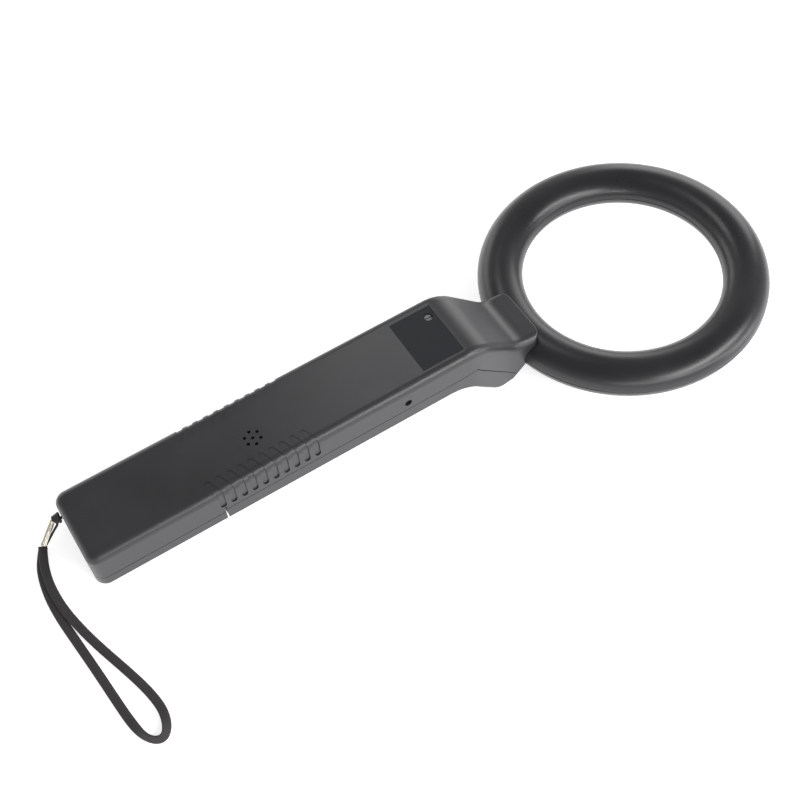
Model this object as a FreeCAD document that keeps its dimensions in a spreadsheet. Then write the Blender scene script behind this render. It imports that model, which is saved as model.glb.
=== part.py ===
import FreeCAD, Part
import math
import os
import Sketcher
import PartDesign

# Hand-held security metal detector: handle, neck, collar and search ring, lying on its back.
# Handle frame while building: X runs from the tail end to the ring, Z from the back face to the
# label face, Y across. The rest placement at the end tilts it on to the floor.

doc = FreeCAD.newDocument("MetalDetectorWand")
sheet = doc.addObject("Spreadsheet::Sheet", "Sizes")

# Driving dimensions in millimetres and degrees
SIZES = (
    # Handle
    ("handle_width", 44.6, "handle, side to side"),
    ("handle_height", 25.0, "back face to label face"),
    ("wall", 2.0, "moulded wall"),
    ("top_edge", 4.4, "round along the upper edges"),
    ("back_edge", 1.5, "round along the lower edges"),
    ("tail_corner", 6.0, "upright round at the tail"),
    ("front_corner", 7.0, "upright round at the collar front"),
    ("corner_proud", 0.2, "that round starts this far outside the side"),
    # Neck and collar, side view
    ("crest_x", 216.6, "where the label face turns down"),
    ("crest_round", 23.0, "round at the crest"),
    ("valley_x", 242.3, "foot of the slope"),
    ("valley_round", 14.0, "hollow round at the foot"),
    ("collar_top", 2.8, "top of the collar above the back face"),
    ("collar_x", 255.2, "front edge of the collar"),
    ("front_edge", 0.7, "round along the collar's front edge"),
    ("back_turn_x", 206.45, "where the back face turns down"),
    ("back_turn_round", 22.0, "hollow round under the neck"),
    ("belly_x", 228.0, "lower corner under the neck"),
    ("belly_round", 12.0, "round at that corner"),
    ("heel_x", 237.7, "where the collar's underside rises to the ring"),
    ("heel_round", 3.0, "round at the heel"),
    ("collar_drop", 23.8, "collar's underside below the back face"),
    ("front_drop", 5.2, "end of that rise, below the back face"),
    # Neck and collar, from above
    ("shoulder_x", 213.0, "where the sides draw in"),
    ("shoulder_round", 60.0, "round at the shoulder"),
    ("throat_x", 236.0, "where the sides run straight again"),
    ("throat_round", 40.0, "round at the throat"),
    ("collar_width", 36.7, "collar, side to side"),
    # Ring
    ("ring_radius", 66.5, "ring centre to the middle of its tube"),
    ("tube_width", 24.7, "tube of the ring, in the ring's plane"),
    ("tube_height", 20.2, "tube of the ring, through the plane"),
    ("ring_wall", 2.0, "wall of the ring's tube"),
    ("lip_cover", 0.55, "collar reaches past the tube's middle"),
    ("ring_lift", 1.5, "underside of the ring above the collar's underside"),
    ("ring_fit", 0.15, "clearance round the ring and its tongue"),
    ("ring_seam", 0.35, "radius of the groove where the ring halves meet"),
    ("tongue_x", 231.5, "rear end of the ring's tongue"),
    ("tongue_width", 24.0, "tongue, side to side"),
    ("tongue_height", 6.8, "tongue, both halves"),
    ("tongue_root", 3.2, "tongue past the tube's outer face"),
    ("passage_radius", 2.0, "wire passage in the tongue"),
    ("passage_notch", 4.4, "notch over the passage, in from the tongue's end"),
    ("ring_screw_x", 237.7, "screws through the tongue"),
    ("ring_screw_pitch", 16.0, "between the two tongue screws"),
    ("ring_screw_cover", 1.65, "plastic between the screw heads and the tongue"),
    # Hollow of the shells
    ("hollow_x", 234.4, "ring end of the hollow"),
    ("hollow_end_top", 4.9, "top of the hollow there"),
    ("hollow_end_drop", 18.5, "bottom of the hollow there, below the back face"),
    ("hollow_end_width", 32.8, "width of the hollow there"),
    ("hollow_crest_x", 211.0, "where the hollow's roof turns down"),
    ("hollow_belly_x", 227.0, "lower corner of the hollow"),
    ("hollow_belly_drop", 19.6, "that corner below the back face"),
    ("hollow_shoulder_x", 211.0, "where the hollow's sides draw in"),
    # Parting of the shells
    ("seam_gap", 0.35, "gap along the parting line"),
    ("door_seam_z", 6.7, "parting height over the battery door"),
    ("door_x", 68.2, "ring end of the battery door"),
    ("door_gap", 1.0, "gap past the door"),
    ("notch_height", 2.1, "that gap above the lower shell's edge"),
    ("seam_z", 8.5, "parting height along the handle"),
    ("seam_bend_x", 202.0, "where the parting line starts to rise"),
    ("seam_kink_x", 212.4, "where it turns down the neck"),
    ("seam_kink_z", 9.5, "height of that kink"),
    ("seam_foot_x", 238.6, "lower end of the parting line"),
    ("seam_foot_drop", 19.3, "that end below the back face"),
    # Grip slots
    ("slot_count", 10, "slots each side"),
    ("slot_pitch", 5.76, "slot to slot"),
    ("slot_width", 3.1, "slot width"),
    ("slot_depth", 0.65, "slot depth on the side"),
    ("slot_top_depth", 0.28, "slot depth on the label face"),
    ("slot_x", 68.2, "first slot on the side face"),
    ("slot_foot_z", 11.6, "rounded lower end on the side"),
    ("slot_reach", 9.0, "slot over the label face, to its rounded end's tip"),
    ("slot_lean", 20.0, "degrees the slots lean back on the label face"),
    # Label, sounder holes and sockets
    ("label_x", 184.7, "tail end of the label"),
    ("label_length", 23.5, "label along the handle"),
    ("label_width", 33.0, "label across the handle"),
    ("label_shift", 0.5, "label off the middle, to the near side"),
    ("label_thickness", 0.25, "label"),
    ("label_recess", 0.3, "recess for the label"),
    ("sound_x", 95.6, "middle of the sounder holes"),
    ("sound_y", 3.9, "middle of the sounder holes, to the near side"),
    ("sound_circle", 4.0, "radius of the circle of holes"),
    ("sound_hole", 0.85, "radius of a sounder hole"),
    ("sound_count", 6, "holes on that circle"),
    ("sound_turn", 30.0, "degrees from the handle's line to the first of them"),
    ("jack_x", 171.8, "earphone socket along the handle"),
    ("jack_z", 13.9, "earphone socket height"),
    ("jack_window", 2.0, "radius of the hole in the shell"),
    ("jack_bore", 1.8, "radius of the socket's bore"),
    ("jack_depth", 11.0, "depth of the socket's bore"),
    ("jack_length", 12.0, "socket across the handle"),
    ("jack_width", 7.0, "socket along the handle"),
    ("trim_x", 204.2, "trimmer along the handle"),
    ("trim_y", 9.9, "trimmer across, to the far side"),
    ("trim_window", 2.3, "radius of the trimmer's access hole"),
    ("trim_body", 6.6, "trimmer, square"),
    ("trim_height", 11.4, "trimmer body above the board"),
    ("trim_rotor", 2.0, "radius of the trimmer's rotor"),
    ("trim_seat", 0.9, "rotor sunk in the body"),
    ("trim_rise", 1.6, "rotor above the body"),
    ("trim_slot", 0.8, "screwdriver slot, width and depth"),
    # Board and what stands on it
    ("board_x", 74.0, "tail end of the board"),
    ("board_length", 134.0, "board along the handle"),
    ("board_width", 36.4, "board across the handle"),
    ("board_z", 9.6, "underside of the board"),
    ("board_thickness", 1.6, "board"),
    ("side_part_depth", 6.0, "switch bodies, along their plunger"),
    ("side_part_height", 5.0, "switch bodies above the board"),
    ("side_part_z", 13.6, "height of the switches and lamps"),
    ("gap_small", 0.1, "clearance between inner pieces"),
    ("slide_fit", 0.15, "clearance of moving knobs"),
    ("button_x", 135.0, "push button along the handle"),
    ("button_length", 9.0, "push button along the handle"),
    ("button_height", 5.0, "push button, up and down"),
    ("button_flange", 1.0, "flange round the button, inside"),
    ("button_flange_thickness", 0.9, "flange of the button"),
    ("button_travel", 0.9, "push button travel"),
    ("button_body", 6.0, "button switch along the handle"),
    ("plunger_radius", 1.6, "button switch plunger"),
    ("plunger_length", 0.4, "button switch plunger"),
    ("switch_x", 157.0, "slide switch along the handle"),
    ("switch_body_length", 12.0, "slide switch body"),
    ("knob_length", 3.2, "slide knob along the handle"),
    ("knob_height", 3.2, "slide knob, up and down"),
    ("knob_travel", 2.5, "slide knob each way"),
    ("knob_plate_length", 14.0, "plate behind the knob"),
    ("knob_plate_height", 5.2, "plate behind the knob"),
    ("knob_plate_thickness", 0.9, "plate behind the knob"),
    ("flush_drop", 0.1, "side pieces below the shell's side face"),
    ("lamp_radius", 1.5, "signal lamp"),
    ("lamp_base", 1.9, "rim of a signal lamp"),
    ("lamp_base_thickness", 0.8, "rim of a signal lamp"),
    ("lamp_length", 6.2, "signal lamp from its rim"),
    ("lamp_leg", 0.5, "lamp leg, square"),
    ("red_lamp_x", 190.0, "red lamp along the handle"),
    ("green_lamp_x", 198.0, "green lamp along the handle"),
    ("sounder_radius", 8.0, "sounder"),
    ("sounder_height", 9.6, "sounder above the board"),
    ("gasket_bore", 5.6, "radius of the sounder gasket's hole"),
    ("motor_x", 118.0, "tail end of the vibration motor"),
    ("motor_y", 13.0, "motor to the near side"),
    ("motor_lift", 3.5, "motor axis above the board"),
    ("motor_radius", 3.0, "vibration motor"),
    ("motor_length", 12.0, "vibration motor"),
    ("motor_shaft", 0.5, "radius of the motor's shaft"),
    ("motor_shaft_length", 4.8, "motor's shaft"),
    ("weight_radius", 3.0, "eccentric weight"),
    ("weight_length", 3.4, "eccentric weight along its shaft"),
    ("weight_gap", 1.0, "weight from the motor's end"),
    ("weight_hub", 1.3, "radius of the weight's hub"),
    ("clip_length", 8.0, "motor clip along the motor"),
    ("clip_wall", 0.8, "motor clip wall"),
    ("chip_x", 112.0, "detector chip along the handle"),
    ("chip_length", 20.0, "detector chip"),
    ("chip_width", 6.4, "detector chip"),
    ("chip_height", 3.4, "detector chip"),
    ("chip_lift", 0.4, "chip above the board"),
    ("chip_pins", 8, "pins each side"),
    ("chip_pitch", 2.54, "pin to pin"),
    ("chip_pin", 0.5, "pin width"),
    ("can_x", 142.0, "first capacitor can"),
    ("can_y", 10.0, "cans to the near side"),
    ("can_pitch", 8.0, "can to can"),
    ("can_radius", 3.1, "capacitor can"),
    ("can_height", 8.0, "capacitor can"),
    ("can_count", 3, "capacitor cans"),
    ("film_x", 142.0, "film capacitor"),
    ("film_length", 12.0, "film capacitor"),
    ("film_width", 4.5, "film capacitor"),
    ("film_height", 8.0, "film capacitor"),
    ("resistor_x", 181.0, "first resistor"),
    ("resistor_pitch", 4.0, "resistor to resistor"),
    ("resistor_radius", 1.1, "resistor"),
    ("resistor_length", 6.3, "resistor"),
    ("resistor_count", 4, "resistors"),
    ("plug_x", 198.0, "coil connector along the handle"),
    ("plug_length", 7.0, "coil connector along the handle"),
    ("plug_width", 8.0, "coil connector across"),
    ("plug_height", 4.8, "coil connector above the board"),
    # Screws
    ("rear_screw_x", 82.0, "rear shell screws"),
    ("front_screw_x", 181.0, "front shell screws"),
    ("screw_pitch", 30.6, "shell screws across the handle"),
    ("screw_radius", 1.3, "screw shank"),
    ("screw_hole", 1.5, "clearance hole for a shank"),
    ("screw_head", 2.5, "radius of a screw head"),
    ("screw_head_height", 1.8, "screw head"),
    ("screw_head_hole", 2.8, "radius of the counterbore"),
    ("screw_sink", 1.2, "screw head below the back face"),
    ("screw_length", 15.0, "shank under the head"),
    ("screw_recess", 0.9, "cross recess in a head, width and depth"),
    ("screw_recess_length", 3.0, "cross recess in a head"),
    ("ring_screw_length", 14.0, "tongue screw's shank"),
    ("post_radius", 3.5, "screw posts and bosses"),
    # Battery and its compartment
    ("battery_x", 12.0, "tail end of the battery"),
    ("battery_length", 46.0, "battery case"),
    ("battery_width", 26.5, "battery case"),
    ("battery_height", 17.5, "battery case"),
    ("battery_lift", 2.4, "battery above the back face"),
    ("battery_edge", 1.6, "round along the battery"),
    ("stud_pitch", 12.7, "between the battery's studs"),
    ("stud_height", 2.5, "battery studs"),
    ("stud_small", 2.9, "radius of the round stud"),
    ("stud_large", 4.0, "radius of the six-sided stud"),
    ("snap_wall", 1.2, "snap connector round the studs"),
    ("snap_length", 25.0, "snap connector across"),
    ("snap_width", 12.0, "snap connector, up and down"),
    ("snap_thickness", 3.2, "snap connector plate"),
    ("lead_radius", 0.6, "battery leads"),
    ("pad_inset", 8.0, "foam pad in from the battery's ends"),
    ("pad_width", 22.0, "foam pad"),
    ("rib_thickness", 1.5, "ribs and bulkhead"),
    ("bulkhead_x", 70.4, "bulkhead past the battery"),
    ("bulkhead_foot", 3.6, "bulkhead above the back face"),
    ("bulkhead_hole", 3.2, "radius of the lead hole"),
    ("stop_width", 20.0, "rib behind the battery"),
    ("stop_foot", 8.0, "that rib above the back face"),
    ("cradle_share", 0.3, "first cradle rib, share of the battery"),
    ("latch_length", 3.4, "door latch past the door"),
    ("latch_width", 12.0, "door latch"),
    ("latch_thickness", 1.0, "door latch"),
    ("door_travel", 5.0, "door slides to free its latch"),
    # Coil
    ("former_width", 13.0, "coil former across the tube"),
    ("former_height", 11.6, "coil former through the tube"),
    ("groove_depth", 3.4, "winding groove"),
    ("groove_height", 6.0, "winding groove"),
    ("winding_depth", 2.6, "winding in its groove"),
    # Strap
    ("eyelet_y", 16.4, "strap eyelet to the far side"),
    ("eyelet_z", 12.0, "strap eyelet above the back face"),
    ("eyelet_radius", 1.6, "strap eyelet"),
    ("strap_post_x", 5.0, "post that the string goes round"),
    ("strap_post_radius", 1.5, "that post"),
    ("string_diameter", 1.3, "string"),
    ("knot_reach", 2.4, "half the knot, out from the tail"),
    ("knot_width", 3.6, "half the knot, across"),
    ("knot_rise", 3.1, "half the knot, up and down"),
    ("ferrule_radius", 1.6, "ferrule"),
    ("ferrule_wall", 0.4, "ferrule wall"),
    ("ferrule_lip", 0.8, "rolled lip at each end of the ferrule"),
    ("ferrule_waist", 0.2, "ferrule drawn in between its lips"),
    ("strap_width", 4.4, "webbing width"),
    ("strap_thickness", 1.1, "webbing thickness"),
    ("overrun", 2.0, "how far cutting tools pass a face"),
)


class Size:
    """A length that knows its value and the sheet expression that gives it."""

    def __init__(self, value, text):
        self.value = float(value)
        self.text = text

    def __float__(self):
        return self.value

    def __add__(self, other):
        other = as_size(other)
        return Size(self.value + other.value, "(%s + %s)" % (self.text, other.text))

    def __sub__(self, other):
        other = as_size(other)
        return Size(self.value - other.value, "(%s - %s)" % (self.text, other.text))

    def __mul__(self, other):
        other = as_size(other)
        return Size(self.value * other.value, "%s * %s" % (self.text, other.text))

    def __truediv__(self, other):
        other = as_size(other)
        return Size(self.value / other.value, "%s / %s" % (self.text, other.text))

    def __neg__(self):
        return Size(-self.value, "(0 - %s)" % self.text)

    def __radd__(self, other):
        return as_size(other) + self

    def __rsub__(self, other):
        return as_size(other) - self

    def __rmul__(self, other):
        return as_size(other) * self


def as_size(number):
    """A plain number as a Size, so that sums may mix the two."""
    if isinstance(number, Size):
        return number
    return Size(number, repr(float(number)))


def sine(angle):
    return Size(math.sin(math.radians(float(angle))), "sin(%s)" % angle.text)


def cosine(angle):
    return Size(math.cos(math.radians(float(angle))), "cos(%s)" % angle.text)


class Sizes:
    """The sheet's values by name."""


def fill_sheet():
    """One row for each size: its name, its value with the name as alias, and what it is."""
    sizes = Sizes()
    for row, (name, value, meaning) in enumerate(SIZES, start=1):
        sheet.set("A%d" % row, name)
        sheet.set("B%d" % row, str(value))
        sheet.set("C%d" % row, meaning)
        sheet.setAlias("B%d" % row, name)
        setattr(sizes, name, Size(value, "Sizes." + name))
    doc.recompute()
    return sizes


s = fill_sheet()

# Places that several pieces share
HALF_WIDTH = s.handle_width / 2
RING_X = s.collar_x - s.lip_cover + s.ring_radius
RING_Z = s.ring_lift + s.tube_height / 2 - s.collar_drop
INNER_SIDE = HALF_WIDTH - s.wall
INNER_TOP = s.handle_height - s.wall
BOARD_TOP = s.board_z + s.board_thickness
TOTAL_LENGTH = RING_X + s.ring_radius + s.tube_width / 2
SIDE_FACE = HALF_WIDTH - s.flush_drop
FRONT_X = s.collar_x + s.overrun


def vec(x, y, z=0):
    return FreeCAD.Vector(float(x), float(y), float(z))


def bind(thing, name, size):
    """Ties one property of a document object to its sheet expression."""
    thing.setExpression(name, as_size(size).text)


# Sketches and features


def box_outline(low_x, high_x, low_y, high_y):
    """Corners of a rectangle."""
    return [(low_x, low_y), (high_x, low_y), (high_x, high_y), (low_x, high_y)]


class Round:
    """A circle for a sketch: its middle and radius."""

    def __init__(self, x, y, radius):
        self.x = as_size(x)
        self.y = as_size(y)
        self.radius = as_size(radius)


def hold(sketch, kind, shape, point, size):
    """Holds one coordinate of a sketch point to a size, measured from the sketch's origin."""
    size = as_size(size)
    number = sketch.addConstraint(Sketcher.Constraint(kind, -1, 1, shape, point, size.value))
    sketch.setExpression("Constraints[%d]" % number, size.text)


def draw_corners(sketch, points):
    first = sketch.GeometryCount
    count = len(points)
    for number in range(count):
        start = points[number]
        end = points[(number + 1) % count]
        sketch.addGeometry(Part.LineSegment(vec(*start), vec(*end)), False)
    for number in range(count):
        after = (number + 1) % count
        sketch.addConstraint(Sketcher.Constraint("Coincident", first + number, 2, first + after, 1))
    for number, (x, y) in enumerate(points):
        hold(sketch, "DistanceX", first + number, 1, x)
        hold(sketch, "DistanceY", first + number, 1, y)


def draw_round(sketch, circle):
    place = vec(circle.x, circle.y)
    shape = sketch.addGeometry(Part.Circle(place, FreeCAD.Vector(0, 0, 1), circle.radius.value), False)
    hold(sketch, "DistanceX", shape, 3, circle.x)
    hold(sketch, "DistanceY", shape, 3, circle.y)
    number = sketch.addConstraint(Sketcher.Constraint("Radius", shape, circle.radius.value))
    sketch.setExpression("Constraints[%d]" % number, circle.radius.text)


PLANES = {"x": "YZ_Plane", "y": "XZ_Plane", "z": "XY_Plane"}


def add_sketch(body, name, axis, level, outlines):
    """A sketch across the given axis, at a level along it. Across x it is drawn in Y and Z,
    across y in X and Z, and across z in X and Y."""
    sketch = body.newObject("Sketcher::SketchObject", name + "_sketch")
    plane = next(f for f in body.Origin.OriginFeatures if f.Role == PLANES[axis])
    sketch.AttachmentSupport = (plane, [""])
    sketch.MapMode = "FlatFace"
    bind(sketch, "AttachmentOffset.Base.z", -as_size(level) if axis == "y" else level)
    for outline in outlines:
        if isinstance(outline, Round):
            draw_round(sketch, outline)
        else:
            draw_corners(sketch, outline)
    return sketch


def volume_of(body):
    return body.Tip.Shape.Volume if body.Tip and not body.Tip.Shape.isNull() else 0.0


def pad(body, name, axis, level, length, *outlines):
    """Adds a prism that starts at a level and runs the positive way along the axis."""
    before = volume_of(body)
    sketch = add_sketch(body, name, axis, level, outlines)
    feature = body.newObject("PartDesign::Pad", name)
    feature.Profile = sketch
    bind(feature, "Length", length)
    feature.Reversed = axis == "y"
    doc.recompute()
    if volume_of(body) <= before:
        raise RuntimeError("%s added nothing" % name)
    return feature


def pocket(body, name, axis, level, length, *outlines):
    """Cuts a prism that starts at a level and runs the positive way along the axis."""
    before = volume_of(body)
    sketch = add_sketch(body, name, axis, level, outlines)
    feature = body.newObject("PartDesign::Pocket", name)
    feature.Profile = sketch
    bind(feature, "Length", length)
    feature.Reversed = axis != "y"
    doc.recompute()
    if volume_of(body) >= before:
        raise RuntimeError("%s cut nothing" % name)
    return feature


def turn(body, name, outline):
    """Turns an outline drawn in X and Z round the ring's upright axis."""
    sketch = add_sketch(body, name, "y", 0, [outline])
    axis = sketch.addGeometry(Part.LineSegment(vec(RING_X, 0), vec(RING_X, s.tube_height)), True)
    hold(sketch, "DistanceX", axis, 1, RING_X)
    hold(sketch, "DistanceY", axis, 1, 0)
    hold(sketch, "DistanceX", axis, 2, RING_X)
    hold(sketch, "DistanceY", axis, 2, s.tube_height)
    feature = body.newObject("PartDesign::Revolution", name)
    feature.Profile = sketch
    feature.ReferenceAxis = (sketch, ["Axis0"])
    feature.Angle = 360
    doc.recompute()
    return feature


def round_edges(body, name, radius, wanted):
    """Fillets the edges of the body's tip whose middle passes the test."""
    base = body.Tip
    names = []
    for number, edge in enumerate(base.Shape.Edges, start=1):
        if wanted(edge):
            names.append("Edge%d" % number)
    feature = body.newObject("PartDesign::Fillet", name)
    feature.Base = (base, names)
    bind(feature, "Radius", radius)
    doc.recompute()
    if feature.Shape.isNull() or not feature.Shape.isValid():
        raise RuntimeError("%s could not be rounded" % name)
    return feature


NEAR = 0.02


def near(a, b):
    return abs(float(a) - float(b)) < NEAR


def middle(edge):
    return edge.valueAt((edge.FirstParameter + edge.LastParameter) / 2)


def upright(edge):
    """True for a straight edge along Z."""
    box = edge.BoundBox
    return box.XLength < NEAR and box.YLength < NEAR


def crosswise(edge):
    """True for a straight edge along Y."""
    box = edge.BoundBox
    return box.XLength < NEAR and box.ZLength < NEAR


def new_body(name):
    return doc.addObject("PartDesign::Body", name)


# Primitives and booleans


def block(name, low_x, high_x, low_y, high_y, low_z, high_z):
    """A box between two corners."""
    shape = doc.addObject("Part::Box", name)
    bind(shape, "Length", as_size(high_x) - low_x)
    bind(shape, "Width", as_size(high_y) - low_y)
    bind(shape, "Height", as_size(high_z) - low_z)
    bind(shape, "Placement.Base.x", low_x)
    bind(shape, "Placement.Base.y", low_y)
    bind(shape, "Placement.Base.z", low_z)
    return shape


TURNS = {
    "x": FreeCAD.Rotation(FreeCAD.Vector(0, 1, 0), 90),
    "y": FreeCAD.Rotation(FreeCAD.Vector(1, 0, 0), -90),
    "z": FreeCAD.Rotation(),
}


def rod(name, axis, x, y, z, radius, length):
    """A cylinder that starts at a point and runs the positive way along an axis."""
    shape = doc.addObject("Part::Cylinder", name)
    bind(shape, "Radius", radius)
    bind(shape, "Height", length)
    shape.Placement = FreeCAD.Placement(vec(x, y, z), TURNS[axis])
    bind(shape, "Placement.Base.x", x)
    bind(shape, "Placement.Base.y", y)
    bind(shape, "Placement.Base.z", z)
    return shape


def join(name, *shapes):
    result = doc.addObject("Part::MultiFuse", name)
    result.Shapes = list(shapes)
    return result


def cut(name, base, *tools):
    """The base less its tools, which are joined first where there are several."""
    result = doc.addObject("Part::Cut", name)
    result.Base = base
    result.Tool = tools[0] if len(tools) == 1 else join(name + "_tools", *tools)
    return result


def common(name, first, second):
    result = doc.addObject("Part::MultiCommon", name)
    result.Shapes = [first, second]
    return result


# Housing


def side_block(name):
    """The side view of the housing, extruded across the handle, with its crosswise corners rounded.
    It runs past the collar's front, which is trimmed later."""
    body = new_body(name)
    pad(body, name + "_view", "y", -HALF_WIDTH, s.handle_width, [
        (0, 0),
        (s.back_turn_x, 0),
        (s.belly_x, -s.collar_drop),
        (s.heel_x, -s.collar_drop),
        (FRONT_X, -s.front_drop),
        (FRONT_X, s.collar_top),
        (s.valley_x, s.collar_top),
        (s.crest_x, s.handle_height),
        (0, s.handle_height),
    ])
    rounds = (
        ("crest", s.crest_x, s.crest_round),
        ("valley", s.valley_x, s.valley_round),
        ("back_turn", s.back_turn_x, s.back_turn_round),
        ("belly", s.belly_x, s.belly_round),
        ("heel", s.heel_x, s.heel_round),
    )
    for corner, place, radius in rounds:
        round_edges(body, name + "_" + corner, radius,
                    lambda edge: crosswise(edge) and near(middle(edge).x, place))
    return body


def plan_block(name):
    """The view from above of the housing, extruded upwards, with its upright corners rounded."""
    body = new_body(name)
    half_collar = s.collar_width / 2
    low = -s.collar_drop - s.overrun
    pad(body, name + "_view", "z", low, s.handle_height + s.overrun - low, [
        (0, -HALF_WIDTH),
        (s.shoulder_x, -HALF_WIDTH),
        (s.throat_x, -half_collar),
        (FRONT_X, -half_collar),
        (FRONT_X, half_collar),
        (s.throat_x, half_collar),
        (s.shoulder_x, HALF_WIDTH),
        (0, HALF_WIDTH),
    ])
    uprights = (
        ("tail", 0, s.tail_corner),
        ("shoulder", s.shoulder_x, s.shoulder_round),
        ("throat", s.throat_x, s.throat_round),
    )
    for corner, place, radius in uprights:
        round_edges(body, name + "_" + corner, radius,
                    lambda edge: upright(edge) and near(middle(edge).x, place))
    return body


def dividing_height(x):
    """Half way between the label face and the back, along the handle and down the neck."""
    start = s.handle_height.value / 2
    end = (s.collar_top.value - s.collar_drop.value) / 2
    share = min(1.0, (x - s.back_turn_x.value) / (s.heel_x.value - s.back_turn_x.value))
    return start + (end - start) * max(0.0, share)


def on_rim(edge):
    """True for an edge where the sides meet the label face or the back."""
    spot = middle(edge)
    if upright(edge) or near(spot.x, FRONT_X):
        return False
    return near(spot.x, 0) or not crosswise(edge)


def housing_body(name):
    """The outside of both shells, the door and the collar as one block: what the side view and
    the view from above have in common, rounded along its rims."""
    block_shape = common(name + "_block", side_block(name + "_side"), plan_block(name + "_plan"))
    doc.recompute()
    rims = []
    for number, edge in enumerate(block_shape.Shape.Edges, start=1):
        if on_rim(edge):
            spot = middle(edge)
            radius = s.top_edge if spot.z > dividing_height(spot.x) else s.back_edge
            rims.append((number, radius.value, radius.value))
    rounded = doc.addObject("Part::Fillet", name)
    rounded.Base = block_shape
    rounded.Edges = rims
    doc.recompute()
    return rounded


def hollow_body():
    """The space inside the shells, from the tail wall to the collar block."""
    body = new_body("hollow")
    side_view = [
        (s.wall, s.wall),
        (s.back_turn_x + s.wall / 2, s.wall),
        (s.hollow_belly_x, -s.hollow_belly_drop),
        (s.hollow_x, -s.hollow_end_drop),
        (s.hollow_x, s.hollow_end_top),
        (s.hollow_crest_x, INNER_TOP),
        (s.wall, INNER_TOP),
    ]
    pad(body, "hollow_side_view", "y", -INNER_SIDE, INNER_SIDE * 2, side_view)
    end = s.hollow_end_width / 2
    plan = [
        (s.wall, -INNER_SIDE),
        (s.hollow_shoulder_x, -INNER_SIDE),
        (s.hollow_x, -end),
        (s.hollow_x, end),
        (s.hollow_shoulder_x, INNER_SIDE),
        (s.wall, INNER_SIDE),
    ]
    surround = box_outline(s.wall - s.overrun, s.hollow_x + s.overrun,
                           -INNER_SIDE - s.overrun, INNER_SIDE + s.overrun)
    pocket(body, "hollow_plan", "z", -s.hollow_end_drop - s.overrun,
           s.hollow_end_drop + s.handle_height + s.overrun, surround, plan)
    round_edges(body, "hollow_tail", s.tail_corner - s.wall,
                lambda edge: upright(edge) and near(middle(edge).x, s.wall))
    round_edges(body, "hollow_top", s.top_edge - s.wall,
                lambda edge: near(edge.BoundBox.ZMin, INNER_TOP) and near(edge.BoundBox.ZMax, INNER_TOP)
                and not (crosswise(edge) and middle(edge).x > s.wall.value + NEAR))
    return body


def seam_zone(name, lift):
    """Everything below the parting line of the lower shell, as a prism across the handle."""
    body = new_body(name)
    fall_x = s.seam_foot_x - s.seam_kink_x
    fall_z = s.seam_foot_drop + s.seam_kink_z
    below = s.collar_drop + s.overrun - s.seam_foot_drop
    end_x = s.seam_foot_x + fall_x / fall_z * below
    outline = [
        (s.door_x + s.door_gap - lift, -s.collar_drop - s.overrun),
        (end_x + lift, -s.collar_drop - s.overrun),
        (s.seam_kink_x + lift, s.seam_kink_z + lift),
        (s.seam_bend_x, s.seam_z + lift),
        (s.door_x + s.door_gap - lift, s.seam_z + lift),
    ]
    reach = HALF_WIDTH + s.overrun
    pad(body, name + "_side_view", "y", -reach, reach * 2, outline)
    return body


def ring_solid(name, half_width, half_height):
    """A closed ring of elliptic section, turned round the ring's axis."""
    section = doc.addObject("Part::Ellipse", name + "_section")
    bind(section, "MajorRadius", half_width)
    bind(section, "MinorRadius", half_height)
    section.Placement = FreeCAD.Placement(vec(RING_X + s.ring_radius, 0, RING_Z),
                                          FreeCAD.Rotation(FreeCAD.Vector(1, 0, 0), 90))
    bind(section, "Placement.Base.x", RING_X + s.ring_radius)
    bind(section, "Placement.Base.z", RING_Z)
    solid = doc.addObject("Part::Revolution", name)
    solid.Source = section
    solid.Axis = FreeCAD.Vector(0, 0, 1)
    solid.Base = vec(RING_X, 0, RING_Z)
    bind(solid, "Base.x", RING_X)
    bind(solid, "Base.z", RING_Z)
    solid.Angle = 360
    solid.Solid = True
    return solid


def ring_torus(name, radius, thickness):
    """A plain ring tool on the ring's own middle plane."""
    tool = doc.addObject("Part::Torus", name)
    bind(tool, "Radius1", radius)
    bind(tool, "Radius2", thickness)
    bind(tool, "Placement.Base.x", RING_X)
    bind(tool, "Placement.Base.z", RING_Z)
    return tool


def tongue_block(name, clearance):
    """The ring's tongue, grown all round by a clearance."""
    half = s.tongue_width / 2 + clearance
    rise = s.tongue_height / 2 + clearance
    face = RING_X - s.ring_radius - s.tube_width / 2
    return block(name, s.tongue_x - clearance, face + s.tongue_root, -half, half,
                 RING_Z - rise, RING_Z + rise)


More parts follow.
